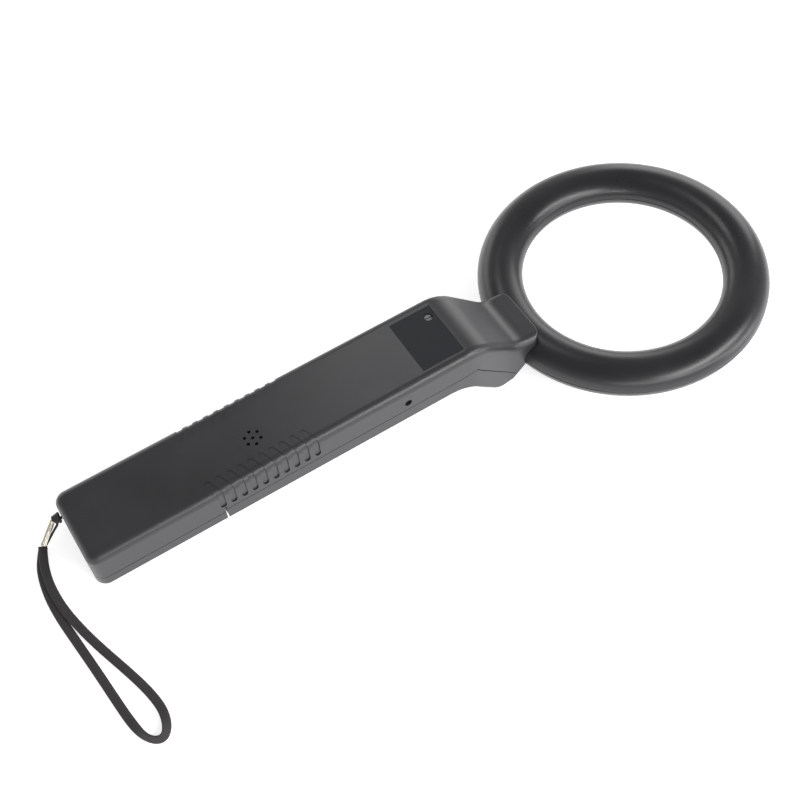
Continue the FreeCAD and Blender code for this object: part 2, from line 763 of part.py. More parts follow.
def slot_tools():
    """The grip slots' cutters for both sides. Each slot is a rounded bar up the side face and a
    leaning rounded bar over the label face, and a core keeps each to its depth."""
    body = new_body("slots")
    half = s.slot_width / 2
    outside = HALF_WIDTH + s.overrun
    foot = s.slot_foot_z + half
    bend_z = s.handle_height - s.top_edge - half
    pad(body, "slot_side", "y", -outside, s.overrun + s.top_edge,
        box_outline(s.slot_x - half, s.slot_x + half, foot, bend_z + half))
    pad(body, "slot_foot", "y", -outside, s.overrun + s.top_edge, Round(s.slot_x, foot, half))
    lean_x = sine(s.slot_lean)
    lean_y = cosine(s.slot_lean)
    across_x = half * lean_y
    across_y = half * lean_x
    start_x = s.slot_x + s.overrun * lean_x / lean_y
    start_y = -outside
    run = (s.slot_reach - half + s.overrun) / lean_y
    end_x = start_x - run * lean_x
    end_y = start_y + run * lean_y
    rise = s.handle_height + s.overrun - bend_z
    pad(body, "slot_top", "z", bend_z, rise,
        [(start_x - across_x, start_y - across_y), (start_x + across_x, start_y + across_y),
         (end_x + across_x, end_y + across_y), (end_x - across_x, end_y - across_y)])
    pad(body, "slot_tip", "z", bend_z, rise, Round(end_x, end_y, half))
    row = body.newObject("PartDesign::LinearPattern", "slot_row")
    row.Originals = [doc.slot_side, doc.slot_foot, doc.slot_top, doc.slot_tip]
    row.Direction = (doc.slot_side_sketch, ["H_Axis"])
    bind(row, "Length", s.slot_pitch * (s.slot_count - 1))
    bind(row, "Occurrences", s.slot_count)
    body.Tip = row
    doc.recompute()
    core = new_body("slot_core")
    depth = s.slot_depth
    core_side = HALF_WIDTH - depth
    core_top = s.handle_height - s.slot_top_depth
    core_start = s.slot_x - s.slot_reach - s.slot_width
    core_length = s.slot_reach + s.slot_pitch * s.slot_count + s.slot_width
    pad(core, "slot_core_block", "x", core_start, core_length,
        box_outline(-core_side, core_side, 0, core_top))
    round_edges(core, "slot_core_round", s.top_edge - depth,
                lambda edge: near(edge.BoundBox.ZMin, core_top) and near(abs(middle(edge).y), core_side))
    near_side = cut("slots_near_side", body, core)
    far_side = doc.addObject("Part::Mirroring", "slots_far_side")
    far_side.Source = near_side
    far_side.Normal = FreeCAD.Vector(0, 1, 0)
    return near_side, far_side


SCREW_PLACES = [
    (s.rear_screw_x, -s.screw_pitch / 2),
    (s.rear_screw_x, s.screw_pitch / 2),
    (s.front_screw_x, -s.screw_pitch / 2),
    (s.front_screw_x, s.screw_pitch / 2),
]
RING_SCREW_PLACES = [
    (s.ring_screw_x, -s.ring_screw_pitch / 2),
    (s.ring_screw_x, s.ring_screw_pitch / 2),
]
SCREW_SEAT = s.screw_sink + s.screw_head_height
RING_SCREW_SEAT = RING_Z - s.tongue_height / 2 - s.ring_screw_cover


def row_of_rods(name, places, axis, start, radius, length):
    """One upright rod at each place."""
    return [rod("%s_%d" % (name, number), axis, x, y, start, radius, length)
            for number, (x, y) in enumerate(places, start=1)]


def front_trim():
    """What is cut off the long housing: all past the collar's front, and its two upright corners."""
    low = -s.collar_drop - s.overrun
    high = s.collar_top + s.overrun
    half = s.collar_width / 2
    round_x = s.collar_x - s.front_corner
    tools = [block("front_slab", s.collar_x, FRONT_X + s.overrun, -half - s.overrun, half + s.overrun, low, high)]
    round_y = half - s.front_corner + s.corner_proud
    for label, low_y, high_y, middle_y in (
            ("near", -half - s.overrun, -round_y, -round_y),
            ("far", round_y, half + s.overrun, round_y)):
        corner = block("front_%s_block" % label, round_x, FRONT_X, low_y, high_y, low, high)
        barrel = rod("front_%s_barrel" % label, "z", round_x, middle_y, low - s.overrun, s.front_corner,
                     high - low + s.overrun * 2)
        tools.append(cut("front_%s_corner" % label, corner, barrel))
    return tools


def front_rounded(name, shape):
    """Rounds the edge between the collar's top and its front."""
    doc.recompute()
    corner_x = s.collar_x.value - s.front_corner.value
    edges = []
    for number, edge in enumerate(shape.Shape.Edges, start=1):
        box = edge.BoundBox
        if box.ZMin > -s.front_drop.value / 2 and box.YLength > NEAR and middle(edge).x > corner_x:
            edges.append((number, s.front_edge.value, s.front_edge.value))
    rounded = doc.addObject("Part::Fillet", name)
    rounded.Base = shape
    rounded.Edges = edges
    doc.recompute()
    return rounded


def shell_skin():
    """The moulded skin of the whole housing, with the collar bored for the ring and its tongue."""
    trimmed = cut("trimmed_housing", housing_body("long_housing"), *front_trim())
    outside = front_rounded("housing", trimmed)
    ring_room = ring_solid("ring_room", s.tube_width / 2 + s.ring_fit, s.tube_height / 2 + s.ring_fit)
    socket = tongue_block("tongue_socket", s.ring_fit)
    return cut("skin", outside, hollow_body(), ring_room, socket)


def upper_shell(skin):
    """Label face, grip, neck slope and collar, with the bosses, ribs and windows it carries."""
    door_room = block("door_room", -s.overrun, s.door_x + s.door_gap, -HALF_WIDTH - s.overrun,
                      HALF_WIDTH + s.overrun, -s.overrun, s.door_seam_z + s.seam_gap)
    gap_room = block("door_gap_room", s.door_x, s.door_x + s.door_gap, -HALF_WIDTH - s.overrun,
                     HALF_WIDTH + s.overrun, -s.overrun, s.seam_z + s.notch_height)
    shape = cut("upper_skin", skin, door_room, gap_room, seam_zone("lower_room", s.seam_gap))
    bosses = row_of_rods("boss", SCREW_PLACES, "z", BOARD_TOP, s.post_radius, INNER_TOP - BOARD_TOP + s.wall / 2)
    rib_foot = s.door_seam_z + s.seam_gap
    side = INNER_SIDE + s.wall / 4
    roof = INNER_TOP + s.wall / 4
    bulkhead = block("bulkhead", s.bulkhead_x, s.bulkhead_x + s.rib_thickness, -side, side,
                     s.seam_z + s.seam_gap, roof)
    apron = block("bulkhead_apron", s.bulkhead_x, s.bulkhead_x + s.rib_thickness,
                  -INNER_SIDE + s.gap_small, INNER_SIDE - s.gap_small, s.bulkhead_foot, s.seam_z + s.wall)
    stop = block("battery_stop", s.battery_x - s.gap_small - s.rib_thickness, s.battery_x - s.gap_small,
                 -s.stop_width / 2, s.stop_width / 2, s.stop_foot, roof)
    ribs = [bulkhead, apron, stop]
    for number, share in enumerate((s.cradle_share, 1 - s.cradle_share), start=1):
        start = s.battery_x + s.battery_length * share
        for label, low, high in (("near", -side, -s.battery_width / 2 - s.gap_small),
                                 ("far", s.battery_width / 2 + s.gap_small, side)):
            ribs.append(block("cradle_%s_%d" % (label, number), start, start + s.rib_thickness,
                              low, high, rib_foot, roof))
    strap_post = rod("strap_post", "z", s.strap_post_x, s.eyelet_y, rib_foot, s.strap_post_radius,
                     roof - rib_foot)
    shape = join("upper_inside", shape, strap_post, *(bosses + ribs))
    tools = list(slot_tools())
    bore_start = BOARD_TOP - s.gap_small
    tools += row_of_rods("boss_bore", SCREW_PLACES, "z", bore_start, s.screw_radius + s.gap_small / 2,
                         SCREW_SEAT + s.screw_length + s.gap_small - bore_start)
    tools += row_of_rods("tongue_bore", RING_SCREW_PLACES, "z", RING_SCREW_SEAT - s.overrun,
                         s.screw_radius + s.gap_small / 2, s.ring_screw_length + s.overrun * 2)
    tools += row_of_rods("tongue_head_bore", RING_SCREW_PLACES, "z",
                         -s.collar_drop - s.overrun, s.screw_head_hole,
                         RING_SCREW_SEAT + s.collar_drop + s.overrun)
    low_y = -s.label_shift - s.label_width / 2
    tools.append(block("label_room", s.label_x - s.gap_small, s.label_x + s.label_length + s.gap_small,
                       low_y - s.gap_small, low_y + s.label_width + s.gap_small,
                       s.handle_height - s.label_recess, s.handle_height + s.overrun))
    window_start = INNER_TOP - s.wall
    window_depth = s.wall * 2 + s.overrun
    tools.append(rod("trim_window_bore", "z", s.trim_x, s.trim_y, window_start, s.trim_window, window_depth))
    tools.append(rod("sound_bore_0", "z", s.sound_x, -s.sound_y, window_start, s.sound_hole, window_depth))
    holes = int(s.sound_count.value)
    for number in range(holes):
        angle = math.radians(s.sound_turn.value) + math.tau * number / holes
        x = s.sound_x + s.sound_circle * math.cos(angle)
        y = s.sound_circle * math.sin(angle) - s.sound_y
        tools.append(rod("sound_bore_%d" % (number + 1), "z", x, y, window_start, s.sound_hole, window_depth))
    outside = HALF_WIDTH + s.overrun
    through = s.wall + s.overrun * 2
    tools.append(rod("jack_window_bore", "y", s.jack_x, -outside, s.jack_z, s.jack_window, through))
    inside = INNER_SIDE - s.overrun
    for label, place in (("red", s.red_lamp_x), ("green", s.green_lamp_x)):
        tools.append(rod(label + "_window_bore", "y", place, inside, s.side_part_z,
                         s.lamp_radius + s.slide_fit, through))
    tools.append(side_window("button_window", s.button_x, s.button_length, s.button_height, 0))
    tools.append(side_window("knob_window", s.switch_x, s.knob_length, s.knob_height, s.knob_travel))
    tools.append(rod("eyelet_bore", "x", -s.overrun, s.eyelet_y, s.eyelet_z, s.eyelet_radius,
                     s.overrun + s.wall * 2))
    tools.append(block("bulkhead_lead_hole", s.bulkhead_x - s.overrun,
                       s.bulkhead_x + s.rib_thickness + s.overrun, -s.bulkhead_hole, s.bulkhead_hole,
                       BOARD_TOP + s.gap_small, BOARD_TOP + s.bulkhead_hole * 2))
    return cut("upper_shell", shape, *tools)


def side_window(name, place, length, height, travel):
    """A slot through the far side wall for a knob and its travel."""
    half = length / 2 + travel + s.slide_fit
    rise = height / 2 + s.slide_fit
    return block(name, place - half, place + half, INNER_SIDE - s.overrun, HALF_WIDTH + s.overrun,
                 s.side_part_z - rise, s.side_part_z + rise)


def lower_shell(skin):
    """The back of the handle up to the parting line, with the posts that carry the board."""
    shape = common("lower_skin", skin, seam_zone("lower_zone", as_size(0)))
    posts = row_of_rods("post", SCREW_PLACES, "z", s.wall / 2, s.post_radius, s.board_z - s.wall / 2)
    shape = join("lower_inside", shape, *posts)
    tools = row_of_rods("post_bore", SCREW_PLACES, "z", -s.overrun, s.screw_hole, s.board_z + s.overrun * 2)
    tools += row_of_rods("post_counterbore", SCREW_PLACES, "z", -s.overrun, s.screw_head_hole,
                         SCREW_SEAT + s.overrun)
    tools += row_of_rods("lower_head_bore", RING_SCREW_PLACES, "z", -s.collar_drop - s.overrun,
                         s.screw_head_hole, RING_SCREW_SEAT + s.collar_drop + s.overrun)
    tools += row_of_rods("lower_shank_bore", RING_SCREW_PLACES, "z", RING_SCREW_SEAT - s.overrun,
                         s.screw_hole, s.ring_screw_length)
    return cut("lower_shell", shape, *tools)


def battery_door(skin):
    """The lower tail piece, with its latch reaching over the lower shell's floor."""
    zone = block("door_zone", -s.overrun, s.door_x, -HALF_WIDTH - s.overrun,
                 HALF_WIDTH + s.overrun, -s.overrun, s.door_seam_z)
    shape = common("door_skin", skin, zone)
    latch_z = s.wall + s.slide_fit
    latch = block("door_latch", s.door_x - s.latch_length, s.door_x + s.latch_length,
                  -s.latch_width / 2, s.latch_width / 2, latch_z, latch_z + s.latch_thickness)
    heel = block("door_latch_root", s.door_x - s.latch_length, s.door_x - s.latch_length / 2,
                 -s.latch_width / 2, s.latch_width / 2, s.wall / 2, latch_z + s.latch_thickness / 2)
    return join("battery_door", shape, latch, heel)


# Ring


def ring_half(name, outer, inner, grooves, upper):
    """Half of the ring's tube with half of the tongue."""
    reach = TOTAL_LENGTH + s.overrun
    wide = s.ring_radius + s.tube_width
    low, high = (RING_Z, RING_Z + s.tube_height) if upper else (RING_Z - s.tube_height, RING_Z)
    zone = block(name + "_zone", s.tongue_x - s.overrun, reach, -wide, wide, low, high)
    whole = join(name + "_solid", outer, tongue_block(name + "_tongue", as_size(0)))
    half = common(name + "_half", whole, zone)
    passage = rod(name + "_passage", "x", s.tongue_x - s.overrun, 0, RING_Z, s.passage_radius,
                  RING_X - s.ring_radius - s.tongue_x + s.overrun)
    notch = block(name + "_notch", s.tongue_x - s.overrun, s.tongue_x + s.passage_notch,
                  -s.passage_radius, s.passage_radius, RING_Z, RING_Z + s.tongue_height / 2 + s.overrun)
    bores = row_of_rods(name + "_bore", RING_SCREW_PLACES, "z", RING_Z - s.tube_height,
                        s.screw_hole, s.tube_height * 2)
    return cut(name, half, inner, passage, notch, *(grooves + bores))


def coil_former():
    """A closed bobbin with one winding groove outside and one inside."""
    body = new_body("coil_former")
    inner = RING_X + s.ring_radius - s.former_width / 2
    outer = RING_X + s.ring_radius + s.former_width / 2
    low = RING_Z - s.former_height / 2
    high = RING_Z + s.former_height / 2
    low_rim = RING_Z - s.groove_height / 2
    high_rim = RING_Z + s.groove_height / 2
    turn(body, "former_section", [
        (inner, low), (outer, low), (outer, low_rim), (outer - s.groove_depth, low_rim),
        (outer - s.groove_depth, high_rim), (outer, high_rim), (outer, high), (inner, high),
        (inner, high_rim), (inner + s.groove_depth, high_rim), (inner + s.groove_depth, low_rim),
        (inner, low_rim),
    ])
    return body


def winding(name, floor, outward):
    """A closed winding that lies on the floor of its groove."""
    body = new_body(name)
    gap = s.gap_small / 2
    start = floor + gap if outward else floor - gap - s.winding_depth
    rise = s.groove_height / 2 - gap
    turn(body, name + "_section",
         box_outline(RING_X + start, RING_X + start + s.winding_depth, RING_Z - rise, RING_Z + rise))
    return body


# Board and what stands on it


def main_board():
    body = new_body("main_board")
    half = s.board_width / 2
    pad(body, "board_blank", "z", s.board_z, s.board_thickness,
        box_outline(s.board_x, s.board_x + s.board_length, -half, half),
        *[Round(x, y, s.screw_hole) for x, y in SCREW_PLACES])
    return body


def box_part(name, low_x, high_x, low_y, high_y, low_z, high_z):
    """A plain moulded block."""
    body = new_body(name)
    pad(body, name + "_block", "z", low_z, as_size(high_z) - low_z,
        box_outline(low_x, high_x, low_y, high_y))
    return body


def detector_chip():
    body = new_body("detector_chip")
    half = s.chip_width / 2
    base = BOARD_TOP + s.chip_lift
    pad(body, "chip_case", "z", base, s.chip_height,
        box_outline(s.chip_x, s.chip_x + s.chip_length, -half, half))
    first = s.chip_x + (s.chip_length - s.chip_pitch * (s.chip_pins - 1)) / 2
    pins = []
    for number in range(int(s.chip_pins.value)):
        middle_x = first + s.chip_pitch * number
        for low in (-half - s.chip_pin, half - s.chip_pin):
            pins.append(box_outline(middle_x - s.chip_pin / 2, middle_x + s.chip_pin / 2,
                                    low, low + s.chip_pin * 2))
    pad(body, "chip_pins_row", "z", BOARD_TOP, s.chip_lift + s.chip_height / 2, *pins)
    return body


def capacitors():
    body = new_body("capacitors")
    cans = [Round(s.can_x + s.can_pitch * number, -s.can_y, s.can_radius)
            for number in range(int(s.can_count.value))]
    pad(body, "can_row", "z", BOARD_TOP, s.can_height, *cans)
    return body


def resistors():
    body = new_body("resistors")
    rods = [Round(s.resistor_x + s.resistor_pitch * number, BOARD_TOP + s.resistor_radius, s.resistor_radius)
            for number in range(int(s.resistor_count.value))]
    pad(body, "resistor_row", "y", -s.resistor_length / 2, s.resistor_length, *rods)
    return body


def trimmer_body():
    body = new_body("trimmer_body")
    half = s.trim_body / 2
    pad(body, "trim_case", "z", BOARD_TOP, s.trim_height,
        box_outline(s.trim_x - half, s.trim_x + half, s.trim_y - half, s.trim_y + half))
    pocket(body, "trim_bearing", "z", BOARD_TOP + s.trim_height - s.trim_seat - s.gap_small,
           s.trim_seat + s.gap_small + s.overrun, Round(s.trim_x, s.trim_y, s.trim_rotor + s.gap_small))
    return body


def trimmer_rotor():
    body = new_body("trimmer_rotor")
    base = BOARD_TOP + s.trim_height - s.trim_seat
    top = base + s.trim_seat + s.trim_rise
    pad(body, "rotor_disc", "z", base, s.trim_seat + s.trim_rise, Round(s.trim_x, s.trim_y, s.trim_rotor))
    half = s.trim_slot / 2
    pocket(body, "rotor_slot", "z", top - s.trim_slot, s.trim_slot + s.overrun,
           box_outline(s.trim_x - s.trim_body, s.trim_x + s.trim_body, s.trim_y - half, s.trim_y + half))
    return body


def sounder():
    body = new_body("sounder")
    pad(body, "sounder_can", "z", BOARD_TOP, s.sounder_height, Round(s.sound_x, -s.sound_y, s.sounder_radius))
    pocket(body, "sounder_port", "z", BOARD_TOP + s.sounder_height / 2, s.sounder_height,
           Round(s.sound_x, -s.sound_y, s.sounder_radius / 4))
    return body


def sounder_gasket():
    body = new_body("sounder_gasket")
    base = BOARD_TOP + s.sounder_height
    pad(body, "gasket_ring", "z", base, INNER_TOP - base,
        Round(s.sound_x, -s.sound_y, s.sounder_radius), Round(s.sound_x, -s.sound_y, s.gasket_bore))
    return body


MOTOR_Z = BOARD_TOP + s.motor_lift


def vibration_motor():
    body = new_body("vibration_motor")
    pad(body, "motor_can", "x", s.motor_x, s.motor_length, Round(-s.motor_y, MOTOR_Z, s.motor_radius))
    pad(body, "motor_shaft_rod", "x", s.motor_x + s.motor_length, s.motor_shaft_length,
        Round(-s.motor_y, MOTOR_Z, s.motor_shaft))
    return body


def vibration_weight():
    """A half disc with a hub, bored for the motor's shaft."""
    body = new_body("vibration_weight")
    start = s.motor_x + s.motor_length + s.weight_gap
    pad(body, "weight_disc", "x", start, s.weight_length, Round(-s.motor_y, MOTOR_Z, s.weight_radius))
    reach = s.weight_radius + s.overrun
    pocket(body, "weight_half", "x", start - s.overrun, s.weight_length + s.overrun * 2,
           box_outline(-s.motor_y - reach, -s.motor_y + reach, MOTOR_Z, MOTOR_Z + reach))
    pad(body, "weight_hub_rod", "x", start, s.weight_length, Round(-s.motor_y, MOTOR_Z, s.weight_hub))
    pocket(body, "weight_bore", "x", start - s.overrun, s.weight_length + s.overrun * 2,
           Round(-s.motor_y, MOTOR_Z, s.motor_shaft + s.gap_small / 2))
    return body


def motor_clip():
    body = new_body("motor_clip")
    half = s.motor_radius + s.gap_small / 2 + s.clip_wall
    start = s.motor_x + (s.motor_length - s.clip_length) / 2
    pad(body, "clip_saddle", "x", start, s.clip_length,
        box_outline(-s.motor_y - half, -s.motor_y + half, BOARD_TOP, MOTOR_Z + s.motor_radius / 2))
    pocket(body, "clip_bore", "x", start - s.overrun, s.clip_length + s.overrun * 2,
           Round(-s.motor_y, MOTOR_Z, s.motor_radius + s.gap_small / 2))
    return body


def jack_socket():
    body = new_body("jack_socket")
    half = s.jack_width / 2
    mouth = -INNER_SIDE + s.gap_small
    top = s.jack_z * 2 - BOARD_TOP
    pad(body, "jack_case", "y", mouth, s.jack_length,
        box_outline(s.jack_x - half, s.jack_x + half, BOARD_TOP, top))
    pocket(body, "jack_bore_hole", "y", mouth - s.overrun, s.jack_depth + s.overrun,
           Round(s.jack_x, s.jack_z, s.jack_bore))
    return body


PLUNGER_TIP = INNER_SIDE - s.slide_fit - s.button_flange_thickness - s.button_travel - s.gap_small / 2


def button_switch():
    body = new_body("button_switch")
    half = s.button_body / 2
    face = PLUNGER_TIP - s.plunger_length
    pad(body, "button_case", "z", BOARD_TOP, s.side_part_height,
        box_outline(s.button_x - half, s.button_x + half, face - s.side_part_depth, face))
    pad(body, "button_plunger", "y", face, s.plunger_length,
        Round(s.button_x, s.side_part_z, s.plunger_radius))
    return body


def button_cap():
    body = new_body("button_cap")
    base = INNER_SIDE - s.slide_fit - s.button_flange_thickness
    half = s.button_length / 2
    rise = s.button_height / 2
    rim = s.button_flange
    pad(body, "cap_face", "y", base, SIDE_FACE - base,
        box_outline(s.button_x - half, s.button_x + half, s.side_part_z - rise, s.side_part_z + rise))
    pad(body, "cap_flange", "y", base, s.button_flange_thickness,
        box_outline(s.button_x - half - rim, s.button_x + half + rim,
                    s.side_part_z - rise - rim / 2, s.side_part_z + rise + rim / 2))
    return body


KNOB_PLATE = INNER_SIDE - s.slide_fit - s.knob_plate_thickness
KNOB_ROOT = KNOB_PLATE - s.slide_fit * 2


def switch_body():
    return box_part("switch_body", s.switch_x - s.switch_body_length / 2,
                    s.switch_x + s.switch_body_length / 2,
                    KNOB_ROOT - s.slide_fit - s.side_part_depth, KNOB_ROOT - s.slide_fit,
                    BOARD_TOP, BOARD_TOP + s.side_part_height)


def switch_knob():
    body = new_body("switch_knob")
    half = s.knob_length / 2
    rise = s.knob_height / 2
    pad(body, "knob_stem", "y", KNOB_ROOT, SIDE_FACE - KNOB_ROOT,
        box_outline(s.switch_x - half, s.switch_x + half, s.side_part_z - rise, s.side_part_z + rise))
    half = s.knob_plate_length / 2
    rise = s.knob_plate_height / 2
    pad(body, "knob_plate", "y", KNOB_PLATE, s.knob_plate_thickness,
        box_outline(s.switch_x - half, s.switch_x + half, s.side_part_z - rise, s.side_part_z + rise))
    return body


def lamp(name, place):
    """A signal lamp lying on its side, its legs bent down to the board."""
    body = new_body(name)
    tip = SIDE_FACE
    rim = tip - s.lamp_length
    pad(body, name + "_lens", "y", rim, s.lamp_length - s.lamp_radius / 2,
        Round(place, s.side_part_z, s.lamp_radius))
    pad(body, name + "_tip", "y", tip - s.lamp_radius / 2, s.lamp_radius / 2,
        Round(place, s.side_part_z, s.lamp_radius * 0.75))
    pad(body, name + "_rim", "y", rim - s.lamp_base_thickness, s.lamp_base_thickness,
        Round(place, s.side_part_z, s.lamp_base))
    half = s.lamp_leg / 2
    legs = [box_outline(place + side * (s.lamp_radius - s.lamp_leg) - half,
                        place + side * (s.lamp_radius - s.lamp_leg) + half,
                        rim - s.lamp_base_thickness - s.lamp_leg, rim - s.lamp_base_thickness)
            for side in (-1, 1)]
    pad(body, name + "_legs", "z", BOARD_TOP, s.side_part_z - BOARD_TOP + half, *legs)
    return body


# Power


def battery():
    body = new_body("battery_9v")
    half = s.battery_width / 2
    top = s.battery_lift + s.battery_height
    pad(body, "battery_case", "x", s.battery_x, s.battery_length,
        box_outline(-half, half, s.battery_lift, top))
    round_edges(body, "battery_round", s.battery_edge,
                lambda edge: edge.BoundBox.YLength < NEAR and edge.BoundBox.ZLength < NEAR)
    end = s.battery_x + s.battery_length
    height = s.battery_lift + s.battery_height / 2
    pad(body, "battery_studs", "x", end, s.stud_height,
        Round(-s.stud_pitch / 2, height, s.stud_small), Round(s.stud_pitch / 2, height, s.stud_large))
    return body


def battery_snap():
    """The snap connector: a plate with a socket over each stud."""
    body = new_body("battery_snap")
    end = s.battery_x + s.battery_length
    height = s.battery_lift + s.battery_height / 2
    plate = end + s.stud_height + s.gap_small
    half = s.snap_length / 2
    rise = s.snap_width / 2
    pad(body, "snap_plate", "x", plate, s.snap_thickness, box_outline(-half, half, height - rise, height + rise))
    start = end + s.gap_small * 4
    small = s.stud_small + s.gap_small
    large = s.stud_large + s.gap_small
    pad(body, "snap_sockets", "x", start, plate - start,
        Round(-s.stud_pitch / 2, height, small + s.snap_wall), Round(s.stud_pitch / 2, height, large + s.snap_wall))
    pocket(body, "snap_bores", "x", start - s.overrun, plate - start + s.overrun,
           Round(-s.stud_pitch / 2, height, small), Round(s.stud_pitch / 2, height, large))
    return body


SNAP_FACE = s.battery_x + s.battery_length + s.stud_height + s.gap_small + s.snap_thickness


def battery_pad():
    half = s.pad_width / 2
    return box_part("battery_pad", s.battery_x + s.pad_inset,
                    s.battery_x + s.battery_length - s.pad_inset, -half, half,
                    s.battery_lift + s.battery_height, INNER_TOP)


# Label


def label():
    body = new_body("label")
    low_y = -s.label_shift - s.label_width / 2
    base = s.handle_height - s.label_recess
    pad(body, "label_sheet", "z", base, s.label_thickness,
        box_outline(s.label_x, s.label_x + s.label_length, low_y, low_y + s.label_width),
        Round(s.trim_x, s.trim_y, s.trim_window))
    round_edges(body, "label_corners", s.wall / 2, lambda edge: upright(edge))
    return body


# Screws


def screws(name, places, seat, length):
    """Screws standing head down, each with a cross recess."""
    body = new_body(name)
    head = seat - s.screw_head_height
    pad(body, name + "_heads", "z", head, s.screw_head_height, *[Round(x, y, s.screw_head) for x, y in places])
    pad(body, name + "_shanks", "z", seat, length, *[Round(x, y, s.screw_radius) for x, y in places])
    half = s.screw_recess / 2
    reach = s.screw_recess_length / 2
    pocket(body, name + "_recess_along", "z", head - s.overrun, s.screw_recess + s.overrun,
           *[box_outline(x - reach, x + reach, y - half, y + half) for x, y in places])
    pocket(body, name + "_recess_across", "z", head - s.overrun, s.screw_recess + s.overrun,
           *[box_outline(x - half, x + half, y - reach, y + reach) for x, y in places])
    return body


# Leads, string and strap: straight runs joined by tangent arcs

SETBACK_SHARE = 0.45
BOW_SHARE = 1.06


def runs_and_arcs(points, label):
    """The wire through a route: every corner is rounded by an arc as large as its two runs allow."""
    edges = []
    here = points[0]
    least = None
    for before, corner, after in zip(points, points[1:], points[2:]):
        back = (before - corner).normalize()
        onward = (after - corner).normalize()
        half_turn = (math.pi - back.getAngle(onward)) / 2
        setback = SETBACK_SHARE * min((corner - before).Length, (after - corner).Length)
        radius = setback / math.tan(half_turn)
        least = radius if least is None else min(least, radius)
        start = corner + back * setback
        end = corner + onward * setback
        inward = (back + onward).normalize()
        centre = corner + inward * (setback / math.sin(half_turn))
        top = centre - inward * radius
        edges.append(Part.LineSegment(here, start).toShape())
        edges.append(Part.Arc(start, top, end).toShape())
        here = end
    edges.append(Part.LineSegment(here, points[-1]).toShape())
    wire = Part.Wire(edges)
    print("%s: length %.1f mm, least radius %.2f mm" % (label, wire.Length, least or 0))
    return wire


def round_lead(points, diameter, label):
    """A round lead along a route, its volume set against its section times its length."""
    wire = runs_and_arcs(points, label)
    direction = points[1] - points[0]
    section = Part.Wire([Part.makeCircle(diameter / 2, points[0], direction)])
    solid = wire.makePipeShell([section], True, True)
    expected = math.pi * diameter * diameter / 4 * wire.Length
    print("%s: volume %.1f of %.1f mm3" % (label, solid.Volume, expected))
    return solid


def flat_lead(points, width, thickness, label):
    """A flat band along a route, its broad side held level."""
    wire = runs_and_arcs(points, label)
    forward = (points[1] - points[0]).normalize()
    across = FreeCAD.Vector(0, 0, 1).cross(forward).normalize() * (width / 2)
    up = forward.cross(across).normalize() * (thickness / 2)
    if up.z < 0:
        up = up * -1
    corners = [points[0] - across - up, points[0] + across - up, points[0] + across + up,
               points[0] - across + up]
    section = Part.makePolygon(corners + corners[:1])
    sweep = Part.BRepOffsetAPI.MakePipeShell(wire)
    sweep.setBiNormalMode(FreeCAD.Vector(0, 0, 1))
    sweep.add(section)
    sweep.build()
    sweep.makeSolid()
    solid = sweep.shape()
    print("%s: volume %.1f of %.1f mm3" % (label, solid.Volume, width * thickness * wire.Length))
    return solid


def held(name, shape):
    """A document object that holds a shape made from the sheet's values."""
    holder = doc.addObject("Part::Feature", name)
    holder.Shape = shape
    return holder


def battery_leads():
    """Two leads from the snap connector over the board's edge to their pads."""
    radius = s.lead_radius.value
    low = BOARD_TOP.value
    high = low + s.bulkhead_hole.value
    start = SNAP_FACE.value
    entry = s.board_x.value + s.board_thickness.value * 3
    solids = []
    for number, side in enumerate((-1, 1), start=1):
        y = side * s.bulkhead_hole.value / 2
        route = [
            FreeCAD.Vector(start, y, high),
            FreeCAD.Vector((start + entry) / 2, y * BOW_SHARE, high + radius / 2),
            FreeCAD.Vector(entry - high + low, y, high),
            FreeCAD.Vector(entry, y, (high + low) / 2),
            FreeCAD.Vector(entry + radius, y, low),
        ]
        solids.append(round_lead(route, radius * 2, "battery lead %d" % number))
    return held("battery_leads", Part.makeCompound(solids))


def coil_lead():
    """From the coil former through the tongue's passage and up the neck to its connector."""
    diameter = (s.passage_radius.value - s.gap_small.value * 4) * 2
    former_face = RING_X.value - s.ring_radius.value - s.former_width.value / 2
    plug_face = s.plug_x.value + s.plug_length.value
    plug_z = BOARD_TOP.value + s.plug_height.value / 2
    passage_z = RING_Z.value
    tongue = s.tongue_x.value
    neck = s.hollow_crest_x.value
    belly = s.hollow_belly_x.value
    route = [
        FreeCAD.Vector(former_face, 0, passage_z),
        FreeCAD.Vector(tongue, 0, passage_z),
        FreeCAD.Vector((belly + neck) / 2 + diameter, 0, (plug_z + passage_z) / 2 - diameter),
        FreeCAD.Vector((belly + neck) / 2 - diameter, 0, plug_z - diameter),
        FreeCAD.Vector(neck - diameter / 2, 0, plug_z + diameter / 4),
        FreeCAD.Vector(plug_face, 0, plug_z),
    ]
    return held("coil_lead", round_lead(route, diameter, "coil lead"))


